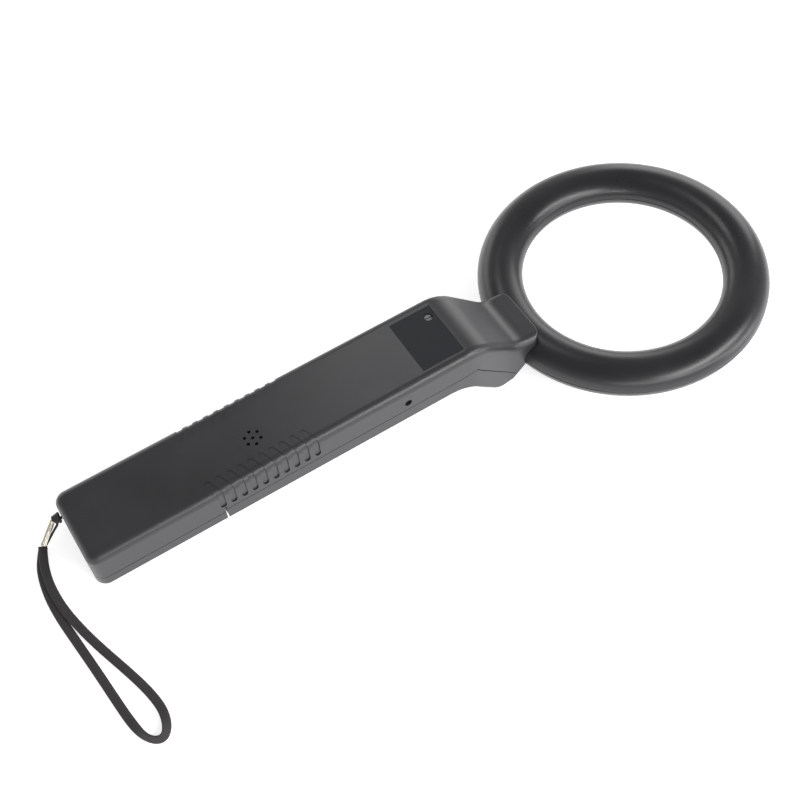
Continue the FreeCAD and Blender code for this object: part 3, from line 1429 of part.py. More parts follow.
# Routes of the string and the strap, and the ends of the ferrule, in the rest frame: the wand lies
# on the floor at height zero, with the middle of its box's underside at the origin
STRING_ROUTE = [
    (-196.38, 16.40, 12.14), (-202.00, 16.40, 11.56), (-203.07, 15.50, 8.78), (-207.44, 13.40, 5.14),
    (-210.82, 12.10, 2.81),
]
STRAP_ROUTE = [
    (-213.4, 12.0, 0.60), (-217.7, 5.0, 0.60), (-220.4, -5.0, 0.60), (-221.5, -16.7, 0.60),
    (-221.0, -29.2, 0.60), (-219.4, -43.6, 0.60), (-217.5, -61.1, 0.60), (-216.0, -77.6, 0.60),
    (-214.7, -90.6, 0.60), (-213.1, -98.9, 0.60), (-210.4, -103.5, 0.60), (-206.8, -105.4, 0.60),
    (-203.6, -103.9, 0.60), (-201.1, -99.0, 0.60), (-200.0, -92.2, 0.60), (-201.0, -84.0, 0.60),
    (-203.4, -74.6, 0.60), (-206.6, -64.6, 0.60), (-210.0, -54.6, 0.60), (-213.3, -44.5, 1.10),
    (-216.1, -34.1, 1.82), (-218.0, -24.1, 1.82), (-218.7, -13.7, 1.82), (-218.1, -4.0, 1.82),
    (-216.0, 5.1, 1.82), (-213.4, 12.0, 1.82),
]
KNOT_PLACE = (-202.15, 17.10, 11.30)
FERRULE_TOP = (-204.20, 18.45, 9.30)
FERRULE_FOOT = (-213.10, 12.25, 2.20)


def route(points):
    return [FreeCAD.Vector(*point) for point in points]


def strap_knot():
    """The string's knot against the tail, as one rounded lump."""
    knot = doc.addObject("Part::Ellipsoid", "strap_knot")
    bind(knot, "Radius1", s.knot_rise)
    bind(knot, "Radius2", s.knot_reach)
    bind(knot, "Radius3", s.knot_width)
    knot.Placement.Base = FreeCAD.Vector(*KNOT_PLACE)
    return knot


def strap_ferrule():
    """A drawn metal tube, a little wider at its two rolled lips, from the knot to the webbing."""
    top = FreeCAD.Vector(*FERRULE_TOP)
    run = FreeCAD.Vector(*FERRULE_FOOT) - top
    body = new_body("strap_ferrule")
    lip = s.ferrule_lip
    waist = as_size(run.Length) - lip * 2
    pad(body, "ferrule_tube", "z", lip, waist, Round(0, 0, s.ferrule_radius - s.ferrule_waist))
    pad(body, "ferrule_top_lip", "z", 0, lip, Round(0, 0, s.ferrule_radius))
    pad(body, "ferrule_foot_lip", "z", waist + lip, lip, Round(0, 0, s.ferrule_radius))
    bore = s.ferrule_radius - s.ferrule_waist - s.ferrule_wall
    pocket(body, "ferrule_mouth", "z", -lip, lip * 3, Round(0, 0, bore))
    body.Placement = FreeCAD.Placement(top, FreeCAD.Rotation(FreeCAD.Vector(0, 0, 1), run))
    return body


def strap_pieces():
    """What hangs from the eyelet, already where it lies on the floor."""
    string = round_lead(route(STRING_ROUTE), s.string_diameter.value, "strap string")
    webbing = flat_lead(route(STRAP_ROUTE), s.strap_width.value, s.strap_thickness.value, "wrist strap")
    return {
        "strap_string": held("strap_string", string),
        "strap_knot": strap_knot(),
        "strap_ferrule": strap_ferrule(),
        "wrist_strap": held("wrist_strap", webbing),
    }


def build_pieces():
    """Every sub-part by the name of its node."""
    skin = shell_skin()
    outer = ring_solid("ring_outside", s.tube_width / 2, s.tube_height / 2)
    inner = ring_solid("ring_inside", s.tube_width / 2 - s.ring_wall, s.tube_height / 2 - s.ring_wall)
    grooves = [ring_torus("seam_outside", s.ring_radius + s.tube_width / 2, s.ring_seam),
               ring_torus("seam_inside", s.ring_radius - s.tube_width / 2, s.ring_seam)]
    return {
        "upper_shell": upper_shell(skin),
        "lower_shell": lower_shell(skin),
        "battery_door": battery_door(skin),
        "ring_upper_half": ring_half("ring_upper_half", outer, inner, grooves, True),
        "ring_lower_half": ring_half("ring_lower_half", outer, inner, grooves, False),
        "coil_former": coil_former(),
        "transmit_coil": winding("transmit_coil", s.ring_radius + s.former_width / 2 - s.groove_depth, True),
        "receive_coil": winding("receive_coil", s.ring_radius - s.former_width / 2 + s.groove_depth, False),
        "coil_lead": coil_lead(),
        "coil_connector": box_part("coil_connector", s.plug_x, s.plug_x + s.plug_length, -s.plug_width / 2,
                                   s.plug_width / 2, BOARD_TOP, BOARD_TOP + s.plug_height),
        "main_board": main_board(),
        "detector_chip": detector_chip(),
        "capacitors": capacitors(),
        "film_capacitor": box_part("film_capacitor", s.film_x, s.film_x + s.film_length, 0, s.film_width,
                                   BOARD_TOP, BOARD_TOP + s.film_height),
        "resistors": resistors(),
        "trimmer_body": trimmer_body(),
        "trimmer_rotor": trimmer_rotor(),
        "sounder": sounder(),
        "sounder_gasket": sounder_gasket(),
        "vibration_motor": vibration_motor(),
        "motor_clip": motor_clip(),
        "vibration_weight": vibration_weight(),
        "jack_socket": jack_socket(),
        "button_switch": button_switch(),
        "button_cap": button_cap(),
        "switch_body": switch_body(),
        "switch_knob": switch_knob(),
        "red_lamp": lamp("red_lamp", s.red_lamp_x),
        "green_lamp": lamp("green_lamp", s.green_lamp_x),
        "battery_9v": battery(),
        "battery_snap": battery_snap(),
        "battery_leads": battery_leads(),
        "battery_pad": battery_pad(),
        "label": label(),
        "shell_screws": screws("shell_screws", SCREW_PLACES, SCREW_SEAT, s.screw_length),
        "ring_screws": screws("ring_screws", RING_SCREW_PLACES, RING_SCREW_SEAT, s.ring_screw_length),
    }


def rest_placement(pieces):
    """Tilts the wand on to its tail edge and the round under its neck, and puts the middle of its
    box's underside at the origin."""
    slope = math.atan2(s.collar_drop.value, s.belly_x.value - s.back_turn_x.value)
    edge = s.back_edge.value
    run = s.belly_x.value + s.belly_round.value * math.tan(slope / 2) - edge
    drop = s.collar_drop.value - s.belly_round.value + edge
    gain = s.belly_round.value - edge
    tilt = math.degrees(math.atan2(drop, run) + math.asin(gain / math.hypot(run, drop)))
    turned = FreeCAD.Placement(FreeCAD.Vector(), FreeCAD.Rotation(FreeCAD.Vector(0, -1, 0), tilt))
    box = FreeCAD.BoundBox()
    for name in ("upper_shell", "battery_door", "ring_upper_half", "ring_lower_half"):
        shape = pieces[name].Shape.copy()
        shape.Placement = turned.multiply(shape.Placement)
        box.add(shape.optimalBoundingBox(False, False))
    print("tilt %.4f, box %.3f..%.3f, %.3f..%.3f, %.3f..%.3f" % (
        tilt, box.XMin, box.XMax, box.YMin, box.YMax, box.ZMin, box.ZMax))
    move = FreeCAD.Vector(-(box.XMin + box.XMax) / 2, -(box.YMin + box.YMax) / 2, -box.ZMin)
    return FreeCAD.Placement(move, turned.Rotation)


def check(pieces):
    """Stops if any object failed or any piece is empty or not valid."""
    for thing in doc.Objects:
        if "Invalid" in thing.State or "Error" in thing.State:
            raise RuntimeError("%s is %s" % (thing.Name, thing.State))
    for name, piece in pieces.items():
        if piece.Shape.isNull() or not piece.Shape.isValid() or not piece.Shape.Solids:
            raise RuntimeError("%s has no good shape" % name)


def main():
    pieces = build_pieces()
    strap = strap_pieces()
    doc.recompute()
    check(pieces)
    rest = rest_placement(pieces)
    for piece in pieces.values():
        piece.Placement = rest.multiply(piece.Placement)
    pieces.update(strap)
    for name, piece in pieces.items():
        piece.Label = name
    doc.recompute()
    check(pieces)
    os.makedirs("parts", exist_ok=True)
    for name, piece in pieces.items():
        piece.Shape.exportStep(os.path.join("parts", name + ".step"))
    print("%d pieces written" % len(pieces))


main()
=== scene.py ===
"""A hand-held security wand, lying label up on a white table with its wrist strap beside it."""

import math

import bpy
import numpy as np
from mathutils import Matrix, Vector


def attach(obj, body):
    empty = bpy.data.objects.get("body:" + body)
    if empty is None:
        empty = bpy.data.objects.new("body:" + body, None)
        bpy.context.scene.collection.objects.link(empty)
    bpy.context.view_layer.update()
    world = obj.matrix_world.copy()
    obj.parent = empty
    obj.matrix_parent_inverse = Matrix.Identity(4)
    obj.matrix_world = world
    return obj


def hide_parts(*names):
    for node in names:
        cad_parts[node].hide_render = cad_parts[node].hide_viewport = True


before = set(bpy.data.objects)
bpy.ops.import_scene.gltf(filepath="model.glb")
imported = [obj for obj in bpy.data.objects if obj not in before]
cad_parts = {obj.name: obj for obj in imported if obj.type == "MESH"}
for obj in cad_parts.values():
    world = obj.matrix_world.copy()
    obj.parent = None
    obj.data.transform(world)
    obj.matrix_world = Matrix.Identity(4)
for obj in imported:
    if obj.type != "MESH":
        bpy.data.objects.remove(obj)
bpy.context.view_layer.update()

MM = 0.001


# Camera, seen from the near side of the tail and from above


def make_camera():
    """A 60 mm lens, 0.7 m from the wand."""
    data = bpy.data.cameras.new("photo_camera")
    data.sensor_width = 36
    data.lens = 60.484
    data.clip_start = 0.01
    data.clip_end = 50
    right = Vector((0.852317, -0.522514, 0.023142))
    up = Vector((0.407279, 0.690808, 0.597418))
    back = Vector((-0.328146, -0.499764, 0.801596))
    place = Vector((-0.250265, -0.351367, 0.565057))
    camera = bpy.data.objects.new("photo_camera", data)
    camera.matrix_world = Matrix(
        [[right[i], up[i], back[i], place[i]] for i in range(3)] + [[0, 0, 0, 1]]
    )
    bpy.context.scene.collection.objects.link(camera)
    bpy.context.scene.camera = camera


make_camera()


# Nodes and colours


def linear(code, alpha=1.0):
    """An sRGB hex value as linear light."""
    part = np.array([int(code[i : i + 2], 16) for i in (1, 3, 5)]) / 255
    part = np.where(part <= 0.04045, part / 12.92, ((part + 0.055) / 1.055) ** 2.4)
    return (*part.tolist(), alpha)


def per_mm(size):
    """Texture scale for a pattern whose marks are this many millimetres wide."""
    return 1 / (size * MM)


def node(tree, kind, values=None, **settings):
    """Adds one node: settings are its properties, values its inputs, a number or a socket each."""
    made = tree.nodes.new(kind)
    for name, value in settings.items():
        setattr(made, name, value)
    for name, value in (values or {}).items():
        if isinstance(value, bpy.types.NodeSocket):
            tree.links.new(value, made.inputs[name])
        else:
            made.inputs[name].default_value = value
    return made


def new_material(name):
    """An empty material with its output, and the object's own coordinates."""
    made = bpy.data.materials.new(name)
    made.use_nodes = True
    tree = made.node_tree
    tree.nodes.clear()
    place = node(tree, "ShaderNodeTexCoord").outputs["Object"]
    return made, tree, place


def finish_surface(tree, shader):
    """Joins a shader to the material's output."""
    node(tree, "ShaderNodeOutputMaterial", {"Surface": shader})


def speckle(tree, place, size, detail=2.0, rough=0.5):
    """Cloudy marks of one size in millimetres, from 0 to 1 about a half."""
    return node(
        tree,
        "ShaderNodeTexNoise",
        {"Vector": place, "Scale": per_mm(size), "Detail": detail, "Roughness": rough},
    ).outputs["Fac"]


def spread(tree, value, low, high, start=0.3, end=0.7):
    """Carries a pattern's values from start..end to low..high."""
    return node(
        tree,
        "ShaderNodeMapRange",
        {"Value": value, "From Min": start, "From Max": end, "To Min": low, "To Max": high},
        clamp=True,
    ).outputs["Result"]


def tint(tree, amount, dark, light):
    """A colour between two, by a pattern."""
    return node(
        tree,
        "ShaderNodeMix",
        {"Factor": amount, "A": linear(dark), "B": linear(light)},
        data_type="RGBA",
    ).outputs["Result"]


def relief(tree, height, depth, strength=1.0, under=None):
    """Bump whose full step is this many millimetres deep."""
    values = {"Height": height, "Distance": depth * MM, "Strength": strength}
    if under is not None:
        values["Normal"] = under
    return node(tree, "ShaderNodeBump", values).outputs["Normal"]


def sum_of(tree, first, second, operation="ADD"):
    """One sum of two values, added unless another operation is named."""
    return node(tree, "ShaderNodeMath", {0: first, 1: second}, operation=operation).outputs[0]


# Finishes


def moulded_abs(name, dark, light, rough, grain_depth):
    """Black ABS from a finely sparked mould: satin, with an even grain and faint flow clouds.

    The real grain is about 0.1 mm, too fine to show, so it is drawn 0.5 mm coarse."""
    made, tree, place = new_material(name)
    clouds = speckle(tree, place, 34, 3)
    grain = speckle(tree, place, 0.5, 3, 0.6)
    pores = speckle(tree, place, 1.6, 2)
    shader = node(
        tree,
        "ShaderNodeBsdfPrincipled",
        {
            "Base Color": tint(tree, spread(tree, clouds, 0, 1), dark, light),
            "Roughness": spread(
                tree, sum_of(tree, clouds, grain), rough - 0.04, rough + 0.05, 0.7, 1.3
            ),
            "Normal": relief(tree, grain, grain_depth, 1.0, relief(tree, pores, grain_depth, 0.5)),
            "IOR": 1.54,
        },
    )
    finish_surface(tree, shader.outputs[0])
    return made


def printed_film(name, dark, light, rough):
    """Matt polyester film: duller and darker than the moulding round it, with orange peel."""
    made, tree, place = new_material(name)
    peel = speckle(tree, place, 2.2, 2)
    haze = speckle(tree, place, 12, 3)
    shader = node(
        tree,
        "ShaderNodeBsdfPrincipled",
        {
            "Base Color": tint(tree, spread(tree, haze, 0, 1), dark, light),
            "Roughness": spread(tree, haze, rough - 0.04, rough + 0.04),
            "Normal": relief(tree, peel, 0.01),
            "IOR": 1.55,
            "Specular IOR Level": 0.3,
        },
    )
    finish_surface(tree, shader.outputs[0])
    return made


def plain_plastic(name, dark, light, rough, size=6):
    """Small moulded or dipped parts: one colour with faint clouds and a fine grain."""
    made, tree, place = new_material(name)
    clouds = speckle(tree, place, size, 3)
    grain = speckle(tree, place, 0.4, 2)
    shader = node(
        tree,
        "ShaderNodeBsdfPrincipled",
        {
            "Base Color": tint(tree, spread(tree, clouds, 0, 1), dark, light),
            "Roughness": spread(tree, clouds, rough - 0.05, rough + 0.05),
            "Normal": relief(tree, grain, 0.01),
            "IOR": 1.5,
        },
    )
    finish_surface(tree, shader.outputs[0])
    return made


def tinted_lens(name, dark, light):
    """Clear tinted epoxy of a signal lamp: glossy, its colour varying in small clouds."""
    made, tree, place = new_material(name)
    clouds = speckle(tree, place, 1.5, 2)
    shader = node(
        tree,
        "ShaderNodeBsdfPrincipled",
        {
            "Base Color": tint(tree, spread(tree, clouds, 0, 1), dark, light),
            "Roughness": spread(tree, clouds, 0.12, 0.2),
            "IOR": 1.5,
            "Transmission Weight": 0.35,
        },
    )
    finish_surface(tree, shader.outputs[0])
    return made


def metal(name, dark, light, rough, streak=0.4, depth=0.01, swing=0.045):
    """Plated or drawn metal: fine streaks, bright reflections."""
    made, tree, place = new_material(name)
    long = node(
        tree, "ShaderNodeMapping", {"Vector": place, "Scale": (1.0, 1.0, 6.0)}
    ).outputs[0]
    streaks = speckle(tree, long, streak, 2)
    stains = speckle(tree, place, 4, 3)
    shader = node(
        tree,
        "ShaderNodeBsdfPrincipled",
        {
            "Base Color": tint(tree, spread(tree, stains, 0, 1), dark, light),
            "Metallic": 1.0,
            "Roughness": spread(tree, streaks, rough - swing, rough + swing),
            "Normal": relief(tree, streaks, depth),
        },
    )
    finish_surface(tree, shader.outputs[0])
    return made


def laminate(name):
    """Green solder mask over copper, drawn as squarish patches about 4 mm across, two greens."""
    made, tree, place = new_material(name)
    cells = node(
        tree,
        "ShaderNodeTexVoronoi",
        {"Vector": place, "Scale": per_mm(4.0)},
        feature="F1",
        distance="CHEBYCHEV",
    ).outputs["Distance"]
    tracks = spread(tree, cells, 0, 1, 0.35, 0.4)
    shader = node(
        tree,
        "ShaderNodeBsdfPrincipled",
        {
            "Base Color": tint(tree, tracks, "#1d5a33", "#2c7a48"),
            "Roughness": 0.35,
            "Normal": relief(tree, tracks, 0.03),
        },
    )
    finish_surface(tree, shader.outputs[0])
    return made


def foam_rubber(name):
    """Open-cell foam with pores about 0.7 mm across, each painted dark towards its middle as painted
    shade.
    """
    made, tree, place = new_material(name)
    pores = node(
        tree, "ShaderNodeTexVoronoi", {"Vector": place, "Scale": per_mm(0.7)}
    ).outputs["Distance"]
    shader = node(
        tree,
        "ShaderNodeBsdfPrincipled",
        {
            # Darker towards each pore's middle, where the bump is lowest: painted shade in the pores
            "Base Color": tint(tree, spread(tree, pores, 0, 1), "#141414", "#2e2e30"),
            "Roughness": 0.9,
            "Normal": relief(tree, pores, 0.2),
        },
    )
    finish_surface(tree, shader.outputs[0])
    return made


def wound_copper(name):
    """Enamelled wire wound round the ring's axis: shiny copper, lighter on each turn as painted
    highlight and darker between turns as painted shade.

    The real turns are about 0.5 mm apart and are drawn coarser, about 3 mm, so that they show."""
    made, tree, place = new_material(name)
    turns = node(
        tree,
        "ShaderNodeTexWave",
        {"Vector": place, "Scale": per_mm(0.5) / 20, "Distortion": 0.6, "Detail": 1.0},
        bands_direction="Z",
    ).outputs["Fac"]
    shader = node(
        tree,
        "ShaderNodeBsdfPrincipled",
        {
            # Colour follows the turns' height: painted highlight on each turn, painted shade between
            # them
            "Base Color": tint(tree, turns, "#8a3d16", "#c9703a"),
            "Metallic": 0.85,
            "Roughness": 0.32,
            "Normal": relief(tree, turns, 0.15),
        },
    )
    finish_surface(tree, shader.outputs[0])
    return made


def woven_webbing(name, dark, light, rib, rough=0.75):
    """Polyester braid: slanted ribs that meet in a line down the middle, with loose fuzz, and painted
    highlight on the rib crests with painted shade in the grooves.

    Ribs are sin(2 pi (v + |u|) / rib), crossed by weaker ones of sin(2 pi (v - |u|) / rib), on the
    piece's own map in millimetres: u across the band and v along it."""
    made, tree, _ = new_material(name)
    flat = node(tree, "ShaderNodeUVMap", uv_map="weave").outputs["UV"]
    split = node(tree, "ShaderNodeSeparateXYZ", {"Vector": flat})
    across = split.outputs["X"]
    along = split.outputs["Y"]
    folded = node(tree, "ShaderNodeMath", {0: across}, operation="ABSOLUTE").outputs[0]
    slant = sum_of(tree, along, folded)
    turn = 2 * math.pi / rib
    ribs = node(
        tree, "ShaderNodeMath", {0: sum_of(tree, slant, turn, "MULTIPLY")}, operation="SINE"
    ).outputs[0]
    other = sum_of(tree, sum_of(tree, along, folded, "SUBTRACT"), turn, "MULTIPLY")
    knots = node(tree, "ShaderNodeMath", {0: other}, operation="SINE").outputs[0]
    crossed = sum_of(tree, ribs, sum_of(tree, knots, 0.45, "MULTIPLY"))
    height = spread(tree, crossed, 0, 1, -1.4, 1.4)
    place = node(tree, "ShaderNodeTexCoord").outputs["Object"]
    fuzz = speckle(tree, place, 0.35, 3, 0.7)
    shader = node(
        tree,
        "ShaderNodeBsdfPrincipled",
        {
            # Colour follows the rib height, mottled by the fuzz: painted highlight on the crests,
            # painted shade in the grooves
            "Base Color": tint(
                tree, spread(tree, sum_of(tree, height, fuzz, "MULTIPLY"), 0, 1, 0.05, 0.6), dark, light
            ),
            "Roughness": rough,
            "Sheen Weight": 0.3,
            "Sheen Roughness": 0.5,
            "Normal": relief(tree, height, 0.12, 1.0, relief(tree, fuzz, 0.06)),
        },
    )
    finish_surface(tree, shader.outputs[0])
    return made


shell_black = moulded_abs("moulded_abs_shell", "#2b2a2c", "#302f32", 0.36, 0.015)
ring_black = moulded_abs("moulded_abs_ring", "#19181b", "#1e1d20", 0.31, 0.008)
knob_black = moulded_abs("moulded_abs_knob", "#1c1c1e", "#232325", 0.35, 0.01)
inner_black = plain_plastic("moulded_inner_plastic", "#1a1a1b", "#232324", 0.5)
label_film = printed_film("label_polyester_film", "#12161a", "#171c21", 0.5)
steel = metal("nickel_plated_steel", "#8e8d8a", "#a6a5a1", 0.3)
weight_metal = metal("sintered_tungsten", "#5a5957", "#6c6b68", 0.45)
black_zinc = metal("black_zinc_steel", "#2c2c2e", "#3a3a3d", 0.35)
bright_nickel = metal(
    "bright_nickel_plate", "#e6dfd0", "#efe9dd", 0.3, streak=0.6, depth=0.002, swing=0.01
)
copper = wound_copper("enamelled_copper_wire")
webbing = woven_webbing("braided_polyester_webbing", "#141214", "#3a3538", 0.9)
cordage = woven_webbing("braided_polyester_string", "#0e0d0e", "#2c2a2c", 0.7)

finishes = {
    "upper_shell": shell_black,
    "lower_shell": shell_black,
    "battery_door": shell_black,
    "ring_upper_half": ring_black,
    "ring_lower_half": ring_black,
    "coil_former": inner_black,
    "transmit_coil": copper,
    "receive_coil": copper,
    "coil_lead": plain_plastic("pvc_lead_sleeve", "#1b1b1c", "#262627", 0.5),
    "coil_connector": plain_plastic("nylon_connector", "#cfc7ae", "#ddd6c0", 0.45),
    "main_board": laminate("solder_masked_laminate"),
    "detector_chip": plain_plastic("epoxy_chip_case", "#1a1a1b", "#222224", 0.55),
    "capacitors": plain_plastic("capacitor_sleeve", "#1b2a55", "#223468", 0.25),
    "film_capacitor": plain_plastic("dipped_epoxy", "#8e2f14", "#a83c1c", 0.3),
    "resistors": plain_plastic("resistor_lacquer", "#b79a6a", "#c8ac7c", 0.35),
    "trimmer_body": plain_plastic("trimmer_case", "#1f4f9c", "#2b5fb4", 0.4),
    "trimmer_rotor": plain_plastic("trimmer_screw", "#77777a", "#8b8b8d", 0.45),
    "sounder": plain_plastic("sounder_case", "#1c1c1d", "#262627", 0.45),
    "sounder_gasket": foam_rubber("foam_gasket"),
    "battery_pad": foam_rubber("foam_pad"),
    "vibration_motor": steel,
    "motor_clip": steel,
    "vibration_weight": weight_metal,
    "jack_socket": inner_black,
    "button_switch": inner_black,
    "switch_body": inner_black,
    "button_cap": knob_black,
    "switch_knob": knob_black,
    "red_lamp": tinted_lens("red_lamp_epoxy", "#8a0f12", "#c41c1c"),
    "green_lamp": tinted_lens("green_lamp_epoxy", "#0f6b26", "#2b9c3c"),
    "battery_9v": plain_plastic("printed_battery_sleeve", "#50535a", "#5d6068", 0.3, 20),
    "battery_snap": plain_plastic("snap_vinyl", "#161617", "#1f1f20", 0.4),
    "battery_leads": plain_plastic("pvc_lead", "#a01717", "#b52222", 0.4),
    "label": label_film,
    "shell_screws": black_zinc,
    "ring_screws": black_zinc,
    "strap_string": cordage,
    "strap_knot": cordage,
    "strap_ferrule": bright_nickel,
    "wrist_strap": webbing,
}

for name, finish in finishes.items():
    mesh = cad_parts[name].data
    mesh.materials.clear()
    mesh.materials.append(finish)


# Meshes from whole arrays


def grid_faces(rings, sides):
    """Quads between rings of points, closed round each ring.

    They face outwards where each ring turns right-handed about the way the rings go."""
    ring = np.arange(rings - 1)[:, None] * sides
    side = np.arange(sides)[None, :]
    beside = (side + 1) % sides
    quads = np.stack([ring + side, ring + beside, ring + sides + beside, ring + sides + side], -1)
    return quads.reshape(-1, 4)


def tube_mesh(name, rings, finish, weave):
    """Closes an array of rings, each an array of points, with a fan at either end, and maps it."""
    count, sides, _ = rings.shape
    ends = np.stack([rings[0].mean(0), rings[-1].mean(0)])
    points = np.concatenate([rings.reshape(-1, 3), ends])
    faces = grid_faces(count, sides).tolist()
    first, last = count * sides, count * sides + 1
    side = np.arange(sides)
    beside = (side + 1) % sides
    faces += np.stack([np.full(sides, first), beside, side], -1).tolist()
    low = (count - 1) * sides
    faces += np.stack([np.full(sides, last), low + side, low + beside], -1).tolist()
    piece = new_piece(name, points, faces, finish)
    map_weave(piece, weave)
    return piece


def new_piece(name, points, faces, finish):
    """Puts points and faces into a smooth mesh that rides on the wand."""
    mesh = bpy.data.meshes.new(name)
    mesh.from_pydata(points.tolist(), [], faces)
    mesh.polygons.foreach_set("use_smooth", [True] * len(mesh.polygons))
    mesh.materials.append(finish)
    mesh.update()
    piece = bpy.data.objects.new(name, mesh)
    bpy.context.scene.collection.objects.link(piece)
    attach(piece, "wand")
    return piece


def map_weave(piece, weave):
    """A map in millimetres: u across the band, v along it, one pair for each point of the rings."""
    mesh = piece.data
    pairs = np.concatenate([weave.reshape(-1, 2), weave[0].mean(0)[None], weave[-1].mean(0)[None]])
    corner = np.empty(len(mesh.loops), int)
    mesh.loops.foreach_get("vertex_index", corner)
    layer = mesh.uv_layers.new(name="weave")
    layer.data.foreach_set("uv", pairs[corner].ravel())


def smooth_line(name, points, steps=16):
    """Points on the NURBS spline of order 3 that has the route as its control points."""
    curve = bpy.data.curves.new(name, "CURVE")
    curve.dimensions = "3D"
    curve.resolution_u = steps
    spline = curve.splines.new("NURBS")
    spline.points.add(len(points) - 1)
    spline.points.foreach_set("co", np.c_[np.array(points) * MM, np.ones(len(points))].ravel())
    spline.order_u = 3
    spline.use_endpoint_u = True
    holder = bpy.data.objects.new(name, curve)
    bpy.context.scene.collection.objects.link(holder)
    bpy.context.view_layer.update()
    mesh = bpy.data.meshes.new_from_object(holder)
    line = np.empty(len(mesh.vertices) * 3)
    mesh.vertices.foreach_get("co", line)
    bpy.data.meshes.remove(mesh)
    bpy.data.objects.remove(holder)
    bpy.data.curves.remove(curve)
    return line.reshape(-1, 3)


def evenly(line, step):
    """The same line with its points this far apart, and each point's distance along it."""
    run = np.r_[0, np.cumsum(np.linalg.norm(np.diff(line, axis=0), axis=1))]
    places = np.linspace(0, run[-1], int(run[-1] / step) + 1)
    return np.stack([np.interp(places, run, line[:, i]) for i in range(3)], -1), places


def headings(line):
    """Unit tangents along a line."""
    ahead = np.gradient(line, axis=0)
    return ahead / np.linalg.norm(ahead, axis=1)[:, None]


# Wrist strap

# The route on the table, in millimetres: down from the ferrule, round the loop and back over itself
STRAP_ROUTE = [
    (-213.4, 12.0, 0.60), (-217.7, 5.0, 0.60), (-220.4, -5.0, 0.60), (-221.5, -16.7, 0.60),
    (-221.0, -29.2, 0.60), (-219.4, -43.6, 0.60), (-217.5, -61.1, 0.60), (-216.0, -77.6, 0.60),
    (-214.7, -90.6, 0.60), (-213.1, -98.9, 0.60), (-210.4, -103.5, 0.60), (-206.8, -105.4, 0.60),
    (-203.6, -103.9, 0.60), (-201.1, -99.0, 0.60), (-200.0, -92.2, 0.60), (-201.0, -84.0, 0.60),
    (-203.4, -74.6, 0.60), (-206.6, -64.6, 0.60), (-210.0, -54.6, 0.60), (-213.3, -44.5, 1.10),
    (-216.1, -34.1, 1.82), (-218.0, -24.1, 1.82), (-218.7, -13.7, 1.82), (-218.1, -4.0, 1.82),
    (-216.0, 5.1, 1.82), (-213.4, 12.0, 1.82),
]
# From the eyelet in the tail wall, out through the knot and down into the ferrule
STRING_ROUTE = [
    (-196.38, 16.40, 12.14), (-202.00, 16.40, 11.56), (-203.04, 16.05, 7.57), (-205.19, 15.21, 6.27),
    (-208.11, 13.72, 4.13), (-210.51, 12.48, 2.31), (-211.87, 11.92, 1.41),
]
FERRULE_TOP = np.array((-204.20, 18.45, 9.30)) * MM
FERRULE_FOOT = np.array((-213.10, 12.25, 2.20)) * MM
SEAM_ANGLE = math.radians(-120)
SEAM_DEPTH = 0.3 * MM
SEAM_SPREAD = 0.09
KNOT_WALL = np.array((-200.95, 16.75, 11.5)) * MM
KNOT_TUBE = np.array((-203.85, 18.25, 9.75)) * MM
KNOT_WALL_RADIUS = 2.15 * MM
KNOT_TUBE_RADIUS = 1.15 * MM
KNOT_STRAND = 0.78 * MM
KNOT_TURNS = 3.3
STRAP_WIDTH = 4.4 * MM
STRAP_THICKNESS = 1.1 * MM
STRAP_SIDES = 24
STRAP_STEP = 0.5 * MM
# The band stands up by this much where the loop turns, fading over this length on either side
TURN_ROLL = math.radians(62)
TURN_REACH = 11 * MM
TURN_LEAD = 4 * MM
TABLE_GAP = 0.05 * MM


def strap_band():
    """A flat braid carried along its line.

    Each ring is x = a sgn(cos t) |cos t|^0.45 across and y = b sgn(sin t) |sin t|^0.8 through. It is
    turned about the line by a roll in the shape of a bell curve, which is widest where the loop
    turns, and the line is lifted so that the rolled band clears the table."""
    line, run = evenly(smooth_line("strap_line", STRAP_ROUTE), STRAP_STEP)
    tangent = headings(line)
    level = np.cross((0, 0, 1.0), tangent)
    level /= np.linalg.norm(level, axis=1)[:, None]
    rise = np.cross(tangent, level)
    lowest = run[np.argmin(line[:, 1])]
    roll = TURN_ROLL * np.exp(-(((run - lowest + TURN_LEAD) / TURN_REACH) ** 2))
    turned = np.cos(roll)[:, None] * level + np.sin(roll)[:, None] * rise
    through = np.cross(tangent, turned)
    half, half_thick = STRAP_WIDTH / 2, STRAP_THICKNESS / 2
    reach_down = half * np.sin(roll) + half_thick * np.cos(roll) + TABLE_GAP
    line = line + np.maximum(0, reach_down - line[:, 2])[:, None] * np.array((0, 0, 1.0))
    angle = np.arange(STRAP_SIDES) / STRAP_SIDES * 2 * math.pi
    wide = np.sign(np.cos(angle)) * np.abs(np.cos(angle)) ** 0.45
    thick = np.sign(np.sin(angle)) * np.abs(np.sin(angle)) ** 0.8
    rings = (
        line[:, None]
        + wide[None, :, None] * half * turned[:, None]
        + thick[None, :, None] * half_thick * through[:, None]
    )
    size = (len(line), STRAP_SIDES)
    weave = np.stack(
        [np.broadcast_to(wide * half / MM, size), np.broadcast_to(run[:, None] / MM, size)], -1
    )
    return tube_mesh("wrist_strap_band", rings, webbing, weave), line


